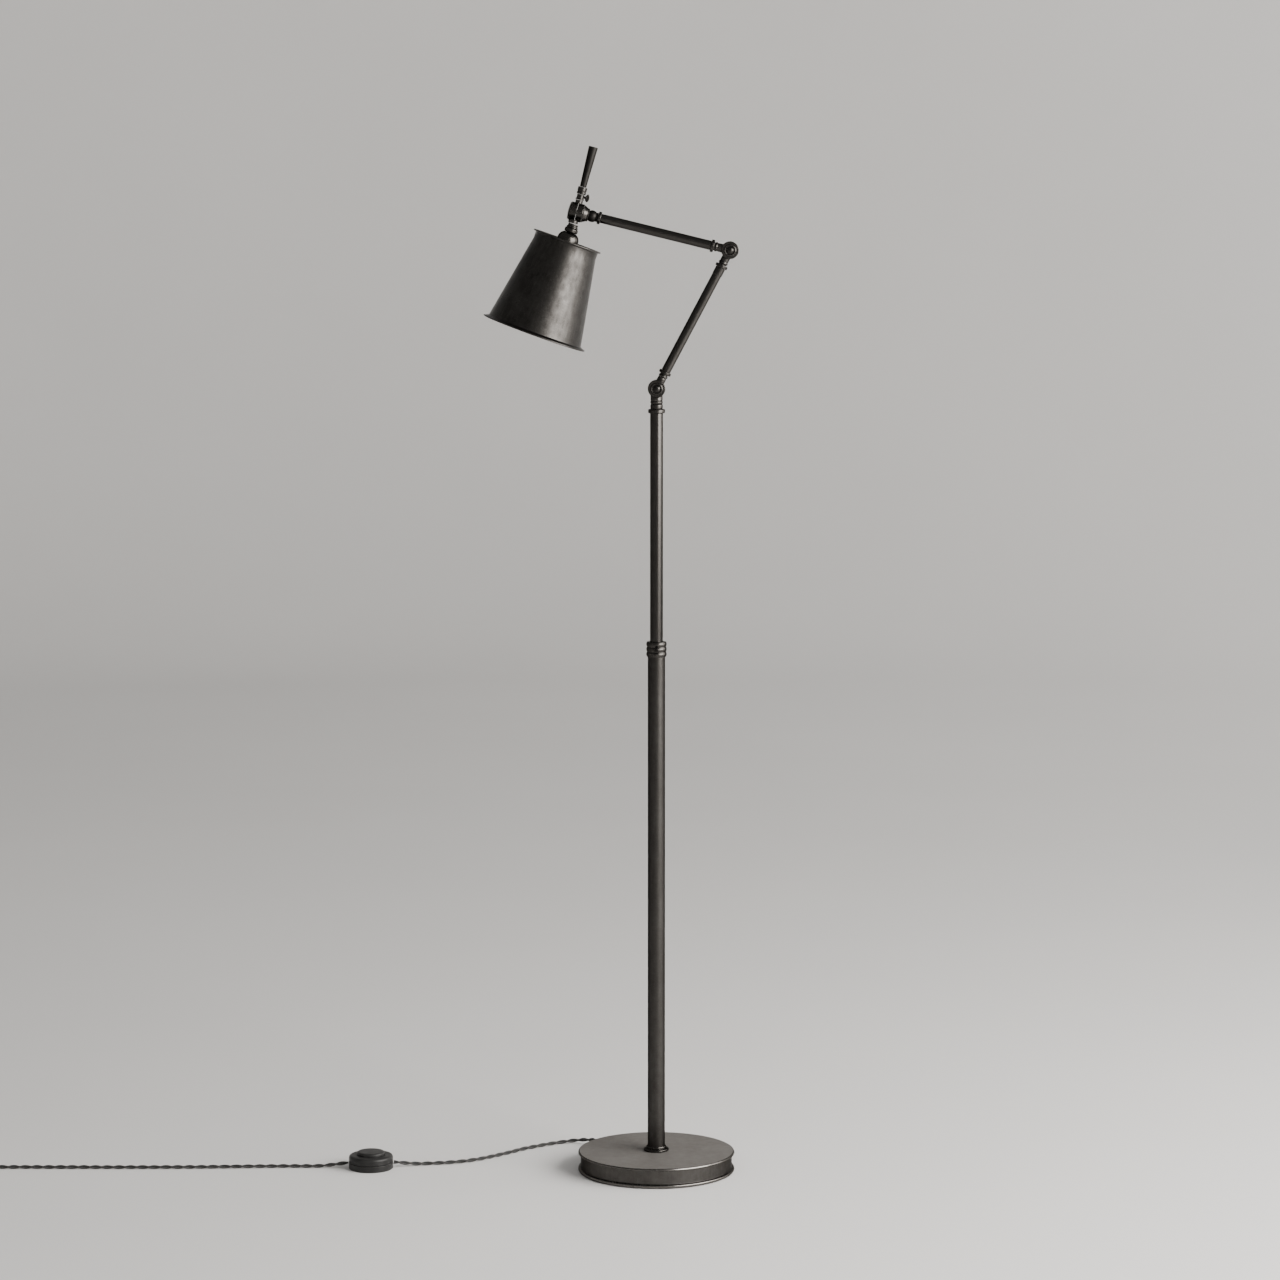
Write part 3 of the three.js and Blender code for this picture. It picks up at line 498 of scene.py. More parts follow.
def bridge(shape, low, high):
    """Faces between two rings, either of which may be a single vertex."""
    sides = max(len(low), len(high))
    for here in range(sides):
        after = here + 1
        corners = [
            low[here % len(low)], low[after % len(low)],
            high[after % len(high)], high[here % len(high)],
        ]
        corners = list(dict.fromkeys(corners))
        if len(corners) > 2:
            shape.faces.new(corners)


def turned(outline, sides=SMALL, fillet=0.35):
    """A solid of revolution about Z. The outline runs up the outside; one that
    leaves the axis is closed back to its first point."""
    closed = outline[0][0] > 0 or outline[-1][0] > 0
    shape = bmesh.new()
    wear_and_highlight = shape.verts.layers.float.new("wear_and_highlight")
    rings = []
    for radius, height, edge_share in rounded(outline, fillet, closed):
        ring = circle(shape, radius * MM, height * MM, sides)
        for vertex in ring:
            vertex[wear_and_highlight] = edge_share
        rings.append(ring)
    if closed:
        rings.append(rings[0])
    for low, high in zip(rings, rings[1:]):
        bridge(shape, low, high)
    return shape


def bar(radius, bottom, top, sides=SMALL, bore=0.0, fillet=0.35):
    return turned([[bore, bottom], [radius, bottom], [radius, top], [bore, top]], sides, fillet)


def hexagon(radius, bottom, top, fillet):
    return bar(radius, bottom, top, 6, 0, fillet)


def moved(shape, matrix):
    bmesh.ops.transform(shape, matrix=matrix, verts=shape.verts)
    return shape


def lifted(shape, x, y, z):
    return moved(shape, Matrix.Translation((x * MM, y * MM, z * MM)))


def softened(shape, edges, size):
    """Rounds the given edges, and gives them some edge rubbing and painted highlight."""
    wear_and_highlight = shape.verts.layers.float["wear_and_highlight"]
    made = bmesh.ops.bevel(
        shape, geom=edges, offset=size * MM, segments=3, profile=0.5, affect="EDGES"
    )
    for vertex in made["verts"]:
        vertex[wear_and_highlight] = 0.6


def block(width, depth, height, edge=0.0):
    """A box about the origin, with its edges rounded."""
    shape = bmesh.new()
    shape.verts.layers.float.new("wear_and_highlight")
    bmesh.ops.create_cube(shape, size=1.0)
    moved(shape, Matrix.Diagonal((width * MM, depth * MM, height * MM, 1)))
    if edge:
        softened(shape, shape.edges[:], edge)
    return shape


def extruded(outline, height, edge):
    """A flat outline in X and Y, raised along Z, with its edges rounded."""
    shape = bmesh.new()
    shape.verts.layers.float.new("wear_and_highlight")
    corners = [shape.verts.new((x * MM, y * MM, 0)) for x, y in outline]
    floor = shape.faces.new(corners)
    raised = bmesh.ops.extrude_face_region(shape, geom=[floor])
    top = [part for part in raised["geom"] if isinstance(part, bmesh.types.BMVert)]
    bmesh.ops.translate(shape, vec=(0, 0, height * MM), verts=top)
    bmesh.ops.recalc_face_normals(shape, faces=shape.faces)
    sharp = [item for item in shape.edges if item.calc_face_angle(0) > radians(25)]
    softened(shape, sharp, edge)
    return shape


def mesh_of(shape, name):
    """Turns a shape into a mesh, and frees it."""
    data = bpy.data.meshes.new(name)
    shape.to_mesh(data)
    shape.free()
    return data


def merged(*shapes):
    """One shape from several."""
    whole = bmesh.new()
    for shape in shapes:
        data = mesh_of(shape, "work")
        whole.from_mesh(data)
        bpy.data.meshes.remove(data)
    return whole


def combined(operation, shape, *tools):
    """The shape after a boolean with each tool."""
    target, *helpers = [put_in_scene("work", mesh_of(item, "work")) for item in (shape, *tools)]
    for helper in helpers:
        modifier = target.modifiers.new("combine", "BOOLEAN")
        modifier.operation = operation
        modifier.solver = "EXACT"
        modifier.object = helper
    ready = target.evaluated_get(bpy.context.evaluated_depsgraph_get())
    data = bpy.data.meshes.new_from_object(ready)
    result = bmesh.new()
    result.from_mesh(data)
    bpy.data.meshes.remove(data)
    for item in [target, *helpers]:
        used = item.data
        bpy.data.objects.remove(item)
        bpy.data.meshes.remove(used)
    return result


def cut(shape, *tools):
    return combined("DIFFERENCE", shape, *tools)


def join(shape, *others):
    return combined("UNION", shape, *others)


def piece(name, shape, material, body, place=FLOOR):
    """Makes an object that rides on a body and shades smoothly up to its edges. Its
    vertices keep their spots in the part's own frame as "local", which the metal's
    texture follows."""
    local = shape.verts.layers.float_vector.new("local")
    for vertex in shape.verts:
        vertex[local] = vertex.co
    moved(shape, place)
    data = mesh_of(shape, name)
    data.polygons.foreach_set("use_smooth", [True] * len(data.polygons))
    data.set_sharp_from_angle(angle=radians(38))
    data.materials.append(MATERIALS[material])
    made = put_in_scene(name, data)
    even = made.modifiers.new("even_shading", "WEIGHTED_NORMAL")
    even.keep_sharp = True
    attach(made, body)
    return made


def repaint(made, material, chosen):
    """Gives another material to the faces whose centre is chosen."""
    made.data.materials.append(MATERIALS[material])
    index = len(made.data.materials) - 1
    for face in made.data.polygons:
        if chosen(face.center):
            face.material_index = index


def detail(node, shape, material, place=FLOOR):
    """A piece that stands for a CAD node."""
    made = piece(f"{node}_detail", shape, material, body_of[node], place)
    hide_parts(node)
    return made


def fittings(place, **shapes):
    """Details in the lamp's usual bronze, each named after its CAD node."""
    for node, shape in shapes.items():
        detail(node, shape, "fitting_bronze", place)


# ---- cord ----
RELIEF_TIP = BASE_WALL + STRAIN_RELIEF_LENGTH + GAP
RELIEF_END = (
    RELIEF_TIP * cos(CORD_OUTLET_ANGLE),
    RELIEF_TIP * sin(CORD_OUTLET_ANGLE),
    CORD_OUTLET_HEIGHT,
)
# A point of a route without a height lies on the floor.
ROUTE_TO_SWITCH = [
    RELIEF_END,
    (-80, 129, 11.8), (-87, 141, 11.2), (-97, 154, 9.6), (-110, 165, 7.4), (-125, 170.5, 5.2),
    (-140, 169, 3.8), (-155, 163, 3.2), (-171, 153), (-189, 139), (-207, 124), (-227, 102),
    (-247, 82), (-270, 61), (-295, 45), (-320, 36), (-344, 31), (-366, 26, 3.6), (-386, 20, 6),
    (SWITCH_X + SWITCH_RADIUS + 0.9, SWITCH_Y + 4, 8.6),
]
ROUTE_TO_COIL = [
    (SWITCH_X - SWITCH_RADIUS - 0.9, SWITCH_Y, 8.8),
    (-492, 12, 6.2), (-512, 12.4, 3.8), (-534, 13), (-570, 13), (-615, 11.5), (-665, 9),
    (-720, 7), (-780, 6), (-840, 6), (-900, 6.5), (-960, 7), (-1010, 7), (-1040, 7, 3.6),
    (COIL_X + 23, 7, 4.2),
]
PLUG_ENTRY = PLUG_X - PLUG_LENGTH / 2
TAIL = [
    (COIL_X - 39, COIL_Y - 22, 13), (COIL_X - 39, COIL_Y - 35, 12),
    (COIL_X - 37, COIL_Y - 48, 11), (COIL_X - 31, COIL_Y - 61, 10),
    (COIL_X - 22, PLUG_Y + 3, 9.6), (PLUG_ENTRY - 7, PLUG_Y, 9.5),
    (PLUG_ENTRY - GAP, PLUG_Y, 9.5),
]
# Each turn of the coil has a place in its section: (radius, height, turns it lasts).
COIL_SECTION = [
    (39, 4.4, 1.0), (33, 4.4, 1.0), (27, 4.4, 0.5), (30, 9.6, 1.0),
    (36, 9.6, 1.0), (33, 14.8, 1.0), (39, 14.8, 1.75),
]
SHIFT = 1 / 6  # part of a turn in which the cord moves to its next place
STEPS_PER_TURN = 48
TWIST_PITCH = 0.036


def coil_points():
    """The coil's turns, anticlockwise from its +Y side. The cord moves over smoothly
    from one place in the section to the next."""
    points = []
    total = 0.0
    for index, (radius, height, turns) in enumerate(COIL_SECTION):
        last = COIL_SECTION[max(index - 1, 0)]
        for step in range(round(turns * STEPS_PER_TURN)):
            run = step / STEPS_PER_TURN
            t = min(run / SHIFT, 1.0)
            ease = t * t * (3 - 2 * t)
            here = last[0] + (radius - last[0]) * ease
            up = last[1] + (height - last[1]) * ease
            angle = pi / 2 + 2 * pi * (total + run)
            points.append((COIL_X + here * cos(angle), COIL_Y + here * sin(angle), up))
        total += turns
    return points


def catmull_rom(points, step):
    """Points every step metres or so on a smooth curve through the given ones."""
    ends = [2 * points[0] - points[1], *points, 2 * points[-1] - points[-2]]
    smooth = []
    for a, b, c, d in zip(ends, ends[1:], ends[2:], ends[3:]):
        count = max(1, round((c - b).length / step))
        for index in range(count):
            t = index / count
            point = 0.5 * (
                2 * b
                + (c - a) * t
                + (2 * a - 5 * b + 4 * c - d) * t**2
                + (3 * b - a - 3 * c + d) * t**3
            )
            smooth.append(point)
    smooth.append(points[-1])
    return smooth


def line_through(route):
    points = [Vector((*spot, CORD_LIE)[:3]) * MM for spot in route]
    return catmull_rom(points, CORD_STEP * MM)


def twisted(line):
    """Two braided strands wound round each other along a line, pressed together a bit."""
    sides = 12
    shape = bmesh.new()
    layer = shape.loops.layers.uv.new("strand")
    frames = carried_frames(line)
    for start in (0.0, pi):
        run = 0.0
        rings = []
        for index, point in enumerate(line):
            if index:
                run += (point - line[index - 1]).length
            across, up = frames[index]
            twist = start + 2 * pi * run / TWIST_PITCH
            centre = point + (across * cos(twist) + up * sin(twist)) * STRAND_OFFSET * MM
            ring = []
            for side in range(sides):
                angle = 2 * pi * side / sides
                offset = across * cos(angle) + up * sin(angle)
                ring.append(shape.verts.new(centre + offset * STRAND_RADIUS * MM))
            rings.append((ring, run, twist / (2 * pi)))
        skin_strand(shape, layer, rings, sides)
    return shape


def carried_frames(line):
    """Two directions across the line at each point, carried along without twisting."""
    frames = []
    across = Vector((0, 0, 1)).cross(line[1] - line[0]).normalized()
    for index in range(len(line)):
        ahead = line[min(index + 1, len(line) - 1)] - line[max(index - 1, 0)]
        across = (across - ahead * across.dot(ahead) / ahead.length_squared).normalized()
        frames.append((across, ahead.normalized().cross(across)))
    return frames


def skin_strand(shape, layer, rings, sides):
    """Faces between a strand's rings, with coordinates round it and along it."""
    for (low, run, turn), (high, after, next_turn) in zip(rings, rings[1:]):
        for side in range(sides):
            follow = (side + 1) % sides
            face = shape.faces.new([low[side], low[follow], high[follow], high[side]])
            left, right = side / sides, (side + 1) / sides
            spots = (
                (left - turn, run), (right - turn, run),
                (right - next_turn, after), (left - next_turn, after),
            )
            for loop, spot in zip(face.loops, spots):
                loop[layer].uv = spot
    shape.faces.new(reversed(rings[0][0]))
    shape.faces.new(rings[-1][0])


def make_cord(name, line, nodes, with_pieces):
    cord = piece(name, twisted(line), "braid", "base")
    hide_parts(*nodes)


def switch_cord():
    line = line_through(ROUTE_TO_SWITCH)
    make_cord("cord_base_to_switch", line, ["cord_to_switch"], foot_switch())


def mains_cord():
    line = line_through([*ROUTE_TO_COIL, *coil_points(), *TAIL])
    nodes = ["cord_to_coil", "cord_coil", "cord_tail"]
    make_cord("cord_switch_to_plug", line, nodes, [coil_tie(), plug()])


def strap_outline(grow):
    """A rectangle with round corners in X and Z, round the coil's section. It is grow
    larger on every side than the strap's inner face."""
    inner, outer = COIL_INNER - 1.1 + TIE_CORNER, COIL_OUTER + GAP - TIE_CORNER
    low, high = COIL_BOTTOM - GAP + TIE_CORNER, COIL_TOP + GAP - TIE_CORNER
    corners = [(inner, low), (outer, low), (outer, high), (inner, high)]
    path = []
    for index, corner in enumerate(corners):
        start = -pi + index * pi / 2
        path += arc(corner, TIE_CORNER + grow, start, start + pi / 2, 4)
    return path


def coil_tie():
    """A flat strap round the coil's section, at its +X side."""
    shape = bmesh.new()
    wear_and_highlight = shape.verts.layers.float.new("wear_and_highlight")
    half = TIE_WIDTH / 2
    rings = []
    for y, grow in ((-half, 0), (-half, TIE_THICKNESS), (half, TIE_THICKNESS), (half, 0)):
        ring = [shape.verts.new((x * MM, y * MM, z * MM)) for x, z in strap_outline(grow)]
        for vertex in ring:
            vertex[wear_and_highlight] = 0.2
        rings.append(ring)
    for low, high in zip(rings, rings[1:] + rings[:1]):
        bridge(shape, low, high)
    bmesh.ops.recalc_face_normals(shape, faces=shape.faces)
    return detail("cord_tie", lifted(shape, COIL_X, COIL_Y, 0), "rubber")


def plug():
    """A three-pin plug on its back, with its cord coming out of its tapered end."""
    half = PLUG_WIDTH / 2
    back = PLUG_LENGTH / 2
    outline = [(-half, -back), (half, -back), (half, 4), (9, back), (-9, back), (-half, 4)]
    base = extruded(outline, PLUG_THICKNESS, 2.4)
    pin_length = 18
    pins = []
    for width, depth, x, y in ((4, 8, 0, -15), (6.4, 4, -11, 7), (6.4, 4, 11, 7)):
        pin = block(width, depth, pin_length + 4, 0.6)
        pins.append(lifted(pin, x, y, PLUG_THICKNESS + pin_length / 2 - 2))
    turn = Matrix.Rotation(pi / 2, 4, "Z")
    place = Matrix.Translation((PLUG_X * MM, PLUG_Y * MM, 0)) @ turn
    made = detail("plug", merged(base, *pins), "plastic", place)
    repaint(made, "brass", lambda spot: spot.z > (PLUG_THICKNESS + 0.2) * MM)
    return made


# ---- foot switch ----
def foot_switch():
    edge, seam = SWITCH_RADIUS, SWITCH_SEAM
    rim, top = BUTTON_RADIUS, BUTTON_TOP
    inside = edge - 2.5
    opening = rim + 0.4
    shoulder = SWITCH_HEIGHT - 1.2
    shell = turned([
        [0, 0], [edge - 1, 0], [edge, 1], [edge, seam - 0.4],
        [edge - 0.4, seam], [inside, seam], [inside, 2.2], [0, 2.2],
    ], LARGE, 0.5)
    cover = turned([
        [inside, seam + 0.4], [edge - 0.4, seam + 0.4],
        [edge, seam + 0.9], [edge, shoulder - 4.2],
        [edge - 0.5, shoulder - 2.4], [edge - 1.8, shoulder - 1],
        [edge - 4, shoulder - 0.2], [edge - 6.5, shoulder],
        [opening, shoulder], [opening, shoulder - 2.2], [inside - 2, shoulder - 2.2],
        [inside, shoulder - 5],
    ], LARGE, 0.5)
    button = turned([
        [0, 15], [24, 15], [24, 17], [rim, 17], [rim, top - 2.6],
        [rim - 0.5, top - 1.2], [rim - 2, top - 0.3],
        [rim - 4.4, top], [0, top - 0.2],
    ], LARGE, 0.6)
    mechanism = lifted(block(30, 18, 7, 0.8), 0, 0, 6.2)
    return [
        detail("switch_lower_shell", shell, "plastic", SWITCH),
        detail("switch_cover", cover, "plastic", SWITCH),
        detail("switch_button", button, "plastic", SWITCH),
        detail("switch_mechanism", mechanism, "nylon", SWITCH),
    ]


# ---- base ----
def at_outlet(shape):
    """Turns a shape made along +Z to where the cord leaves the base."""
    turn = Matrix.Rotation(CORD_OUTLET_ANGLE, 4, "Z") @ Z_TO_X
    return moved(shape, raised(CORD_OUTLET_HEIGHT) @ turn)


def base_cover():
    under = BASE_HEIGHT - BASE_SHEET
    inside = BASE_WALL - BASE_SHEET
    bore = BASE_ROD_RADIUS + GAP
    cover = turned([
        [BASE_WALL, 6.6], [BASE_WALL, 27], [118.6, 27.5], [119.7, 28], [BASE_RADIUS, 28.7],
        [119.2, 30.6], [118.3, BASE_HEIGHT], [60, BASE_HEIGHT], [bore, BASE_HEIGHT],
        [bore, under], [inside, under], [inside, 1.2], [118.8, 1.2],
        [119.8, 2.2], [BASE_RADIUS, 3.6], [119.7, 4.8], [118.8, 5.7], [117.4, 6.1],
    ], LARGE, 0.5)
    outlet = at_outlet(bar(STRAIN_RELIEF_NECK + GAP, BASE_WALL - 26, BASE_WALL + 14))
    return cut(cover, outlet)


def foot_ring():
    bore = LOWER_TUBE_RADIUS + GAP
    foot = BASE_HEIGHT + GAP
    return turned([
        [bore, foot], [18.4, foot], [19.2, foot + 0.9], [19.2, foot + 2.7], [18.2, foot + 3.7],
        [15.4, foot + 4.1], [15.6, foot + 6.3], [14.8, foot + 7.7], [bore, foot + 7.7],
    ], MEDIUM, 0.5)


def base_pieces():
    made = detail("base_cover", base_cover(), "base_bronze")
    # The rims and the flange's bead get the lighter copy, a painted highlight.
    rim = (BASE_WALL + 0.6) * MM
    repaint(made, "rim_highlight_bronze", lambda spot: spot.to_2d().length > rim)
    # The top plate gets the lighter copy with the painted sheen.
    plate = (BASE_HEIGHT - 0.05) * MM
    repaint(made, "painted_sheen_top_bronze", lambda spot: spot.z > plate and spot.to_2d().length < rim)
    pad = bar(FELT_RADIUS, 0, FELT_THICKNESS, LARGE, 0, 0.8)
    detail("base_felt", pad, "felt")
    fittings(FLOOR, foot_ring=foot_ring())
    detail("base_strain_relief", at_outlet(strain_relief()), "rubber")


def strain_relief():
    """A tapered rubber sleeve with ribs round it."""
    wall = BASE_WALL
    tip = wall + STRAIN_RELIEF_LENGTH
    first = wall + 3.5
    ribs = 5
    pitch = (tip - 2 - first) / ribs
    neck = STRAIN_RELIEF_NECK
    outline = [
        [0, wall - 6], [6.2, wall - 6], [6.2, wall - 2.4],
        [neck, wall - 2.4], [neck, wall + GAP], [5.5, wall + GAP],
        [5.5, wall + 2.5],
    ]
    for rib in range(ribs):
        low = first + rib * pitch
        radius = 4.8 - 1.2 * rib / ribs
        outline += [
            [radius - 0.7, low], [radius - 0.7, low + 0.35 * pitch],
            [radius, low + 0.45 * pitch], [radius - 0.1, low + 0.95 * pitch],
        ]
    outline += [[3.6, tip - 2], [3.4, tip], [0, tip]]
    return turned(outline, SMALL, 0.25)


# ---- post ----
def post_pieces():
    radius = LOWER_TUBE_RADIUS
    top = COLLAR_BOTTOM + COLLAR_STEP
    lower = bar(radius, BASE_HEIGHT + GAP, top, MEDIUM, radius - POST_WALL)
    detail("lower_tube", lower, "post_bronze")
    radius = UPPER_TUBE_RADIUS
    upper = bar(radius, UPPER_TUBE_BOTTOM, POST_TOP, MEDIUM, radius - POST_WALL)
    detail("upper_tube", upper, "tube_bronze")
    hole = moved(bar(CLAMP_RADIUS + GAP, 5, 25), Z_TO_FRONT)
    sleeve = cut(collar(), lifted(hole, 0, 0, CLAMP_HEIGHT))
    fittings(FLOOR, telescopic_collar=sleeve)
    detail("collar_screw", lifted(clamp_screw(), 0, 0, CLAMP_HEIGHT), "black_bronze")
    fittings(FLOOR, post_cap=post_cap())


def collar():
    """A sleeve with three bulging bands and two grooves between them."""
    step = COLLAR_BOTTOM + COLLAR_STEP + GAP
    bore = UPPER_TUBE_RADIUS + GAP
    foot = LOWER_TUBE_RADIUS + GAP
    bands = 3
    pitch = (COLLAR_TOP - COLLAR_BOTTOM) / bands
    bulge = 1.3
    outline = [[bore, COLLAR_TOP], [bore, step], [foot, step], [foot, COLLAR_BOTTOM]]
    for band in range(bands):
        low = COLLAR_BOTTOM + band * pitch
        for t in (0.0, 0.1, 0.3, 0.5, 0.7, 0.9):
            swell = 1 - (2 * t - 1) ** 2
            outline.append([COLLAR_RADIUS - bulge * (1 - swell), low + t * pitch])
    outline.append([COLLAR_RADIUS - bulge, COLLAR_TOP])
    return turned(outline, MEDIUM, 0.3)


def clamp_screw():
    tip = UPPER_TUBE_RADIUS + 0.35
    seat = COLLAR_RADIUS + GAP
    end = seat + 5
    screw = turned([
        [0, tip], [CLAMP_RADIUS, tip], [CLAMP_RADIUS, seat], [3.4, seat], [3.8, seat + 0.6],
        [3.8, end - 0.8], [3.2, end], [0, end],
    ], SMALL, 0.5)
    slot = lifted(block(10, 1.06, 2.3), 0, 0.03, end)
    return moved(cut(screw, slot), Z_TO_FRONT)


def post_cap():
    spigot = UPPER_TUBE_RADIUS - POST_WALL - GAP
    foot = POST_TOP - 20
    flange = POST_TOP + GAP
    bore = SWIVEL_PIN_RADIUS + GAP
    return turned([
        [bore, foot], [spigot, foot], [spigot, flange],
        [12, flange], [12.8, flange + 0.8], [12.8, flange + 5.2], [12, flange + 6],
        [8.9, flange + 6.4], [9.4, flange + 7.6], [9.5, flange + 11.6],
        [9.2, flange + 12.8], [8.7, SWIVEL_HEIGHT], [bore, SWIVEL_HEIGHT],
    ], MEDIUM, 0.7)


# ---- knuckles ----
def knuckle_half(side, stem):
    """Half of a knuckle about Y: a disc with a raised boss, and a stem along +Z. The
    side is -1 for the half at -Y and +1 for the half at +Y."""
    rim = KNUCKLE_RADIUS
    boss = KNUCKLE_HALF_WIDTH
    face = boss - 1.6
    bore = PIVOT_RADIUS + GAP
    disc = turned([
        [bore, KNUCKLE_SPLIT], [rim, KNUCKLE_SPLIT], [rim, face - 0.6],
        [rim - 0.6, face], [9.3, face], [9, boss - 0.6], [8.2, boss], [7.2, boss],
        [6.6, SCREW_SEAT], [bore, SCREW_SEAT],
    ], MEDIUM, 0.5)
    facing, away = (Z_TO_FRONT, Z_TO_BACK) if side < 0 else (Z_TO_BACK, Z_TO_FRONT)
    other_half = moved(bar(rim + 0.6, -KNUCKLE_SPLIT, 40, MEDIUM, 0, 0), away)
    hole = moved(bar(bore, -30, 30, SMALL, 0, 0), Z_TO_FRONT)
    return join(moved(disc, facing), cut(stem, other_half, hole))


def arm_stem():
    """The neck between a knuckle and its arm's ring, with a bead."""
    shoulder = RING_OFFSET - RING_LENGTH / 2 - GAP
    spigot = ARM_BORE - GAP
    tip = RING_OFFSET + RING_LENGTH / 2 + 12
    bead = STEM_RADIUS + 0.9
    neck = STEM_RADIUS - 0.3
    return turned([
        [0, 6], [STEM_RADIUS, 6], [STEM_RADIUS, shoulder - 7], [neck, shoulder - 6.4],
        [neck, shoulder - 5], [bead - 0.5, shoulder - 4.4], [bead, shoulder - 3.2],
        [bead - 0.5, shoulder - 2], [neck, shoulder - 1.5], [neck, shoulder],
        [spigot, shoulder], [spigot, tip], [0, tip],
    ], SMALL, 0.4)


def swivel_stem():
    """The bead under the first knuckle, with the pin that turns in the post cap."""
    seat = KNUCKLE_HEIGHT - SWIVEL_HEIGHT - GAP
    pin = SWIVEL_PIN_RADIUS
    tip = KNUCKLE_HEIGHT - POST_TOP + 24
    return turned([
        [0, 6], [9.2, 6], [9.2, seat - 5.6], [8.7, seat - 5], [8.7, seat - 4.4],
        [9.5, seat - 3.6], [9.6, seat - 2.4], [9.3, seat - 1.2], [8.8, seat - 0.4],
        [8.6, seat], [pin, seat], [pin, tip], [0, tip],
    ], MEDIUM, 0.6)


def pivot_screw():
    seat = SCREW_SEAT + 0.1
    end = -SCREW_SEAT - 3.6
    screw = turned([
        [0, end], [PIVOT_RADIUS, end], [PIVOT_RADIUS, seat], [5.7, seat], [5.7, seat + 0.9],
        [5.3, seat + 1.9], [4.3, seat + 2.8], [3, seat + 3.4], [1.5, seat + 3.72],
        [0, seat + 3.8],
    ], SMALL, 0.5)
    return moved(screw, Z_TO_FRONT)


def pivot_nut():
    face = SCREW_SEAT + GAP
    hole = bar(PIVOT_RADIUS + GAP, face - 1, face + 5, SMALL, 0, 0)
    return moved(cut(hexagon(5.6, face, face + 3.6, 0.3), hole), Z_TO_BACK)


def pivot_set(name, place):
    washer = moved(bar(9, -0.4, 0.4, MEDIUM, PIVOT_RADIUS + GAP, 0.1), Z_TO_FRONT)
    detail(f"{name}_screw", pivot_screw(), "black_bronze", place)
    detail(f"{name}_nut", pivot_nut(), "black_bronze", place)
    detail(f"{name}_washer", washer, "nylon", place)


def first_knuckle():
    half = moved(knuckle_half(1, swivel_stem()), UPSIDE_DOWN)
    fittings(KNUCKLE, knuckle_rear_half=half)
    pivot_set("knuckle", KNUCKLE)


# ---- arms ----
def arm_ring(centre):
    low, high = centre - RING_LENGTH / 2, centre + RING_LENGTH / 2
    return turned([
        [ARM_BORE, low], [RING_RADIUS - 0.6, low], [RING_RADIUS, low + 0.6],
        [RING_RADIUS, high - 0.6], [RING_RADIUS - 0.6, high], [ARM_BORE, high],
    ], SMALL, 0.6)


def arm_tube(bottom, top, ferrule=0.0):
    """A tube between two rings. Its top end is a little thicker over the ferrule's length."""
    low, high = bottom + GAP, top - GAP
    outline = [[ARM_BORE, low], [ARM_RADIUS, low], [ARM_RADIUS, high], [ARM_BORE, high]]
    if ferrule:
        sleeve = ARM_RADIUS + 0.45
        start = high - ferrule
        outline[2:3] = [[ARM_RADIUS, start - 0.4], [sleeve, start], [sleeve, high]]
    return turned(outline, SMALL)


def arm_one():
    edge = RING_OFFSET + RING_LENGTH / 2
    half = moved(knuckle_half(1, arm_stem()), raised(ARM_ONE_LENGTH) @ UPSIDE_DOWN)
    detail("arm_one_tube", arm_tube(edge, ARM_ONE_LENGTH - edge, 12), "tube_bronze", ARM_ONE)
    fittings(
        ARM_ONE,
        arm_one_knuckle=knuckle_half(-1, arm_stem()),
        arm_one_lower_ring=arm_ring(RING_OFFSET),
        arm_one_upper_ring=arm_ring(ARM_ONE_LENGTH - RING_OFFSET),
        elbow_rear_half=half,
    )


def tilt_ball():
    neck = ARM_TWO_LENGTH - 6.6
    shoulder = ARM_TWO_LENGTH - HEAD_RING_OFFSET + RING_LENGTH + GAP
    foot = shoulder - 16.6
    spigot = ARM_BORE - GAP
    start = asin(-6.2 / BALL_RADIUS)
    ball = arc((0, ARM_TWO_LENGTH), BALL_RADIUS, start, pi / 2, 18)
    ball[-1] = [0, ARM_TWO_LENGTH + BALL_RADIUS]
    return turned([
        [0, foot], [spigot, foot], [spigot, shoulder], [7.4, shoulder], [6.8, neck], *ball,
    ], SMALL, 0.3)


def arm_two():
    edge = RING_OFFSET + RING_LENGTH / 2
    head_ring = ARM_TWO_LENGTH - HEAD_RING_OFFSET
    fittings(ARM_TWO, elbow_front_half=knuckle_half(-1, arm_stem()))
    pivot_set("elbow", ARM_TWO)
    detail("arm_two_tube", arm_tube(edge, head_ring), "tube_bronze", ARM_TWO)
    fittings(
        ARM_TWO,
        arm_two_elbow_ring=arm_ring(RING_OFFSET),
        arm_two_head_ring=arm_ring(head_ring + RING_LENGTH / 2),
    )
    detail("tilt_ball", tilt_ball(), "grip_bronze", ARM_TWO)


# ---- head hub ----
def ball_cup():
    face = BALL_TO_HUB - HUB_HALF_WIDTH - GAP
    rim = HUB_RADIUS - 0.7
    bore = BALL_RADIUS + GAP
    mouth = 5.2
    bowl = arc((0, 0), bore, pi / 2, asin(mouth / bore), 12)
    bowl[0] = [0, bore]
    return turned([
        bowl.pop(), [9.3, mouth], [9.9, 5.7], [10, 6.6], [9.6, CUP_RIM], [10.2, 8],
        [rim - 1.1, face - 2.2], [rim - 0.8, face - 1.4], [rim, face - 1.1], [rim, face],
        [0, face], *bowl,
    ], MEDIUM, 0.4)


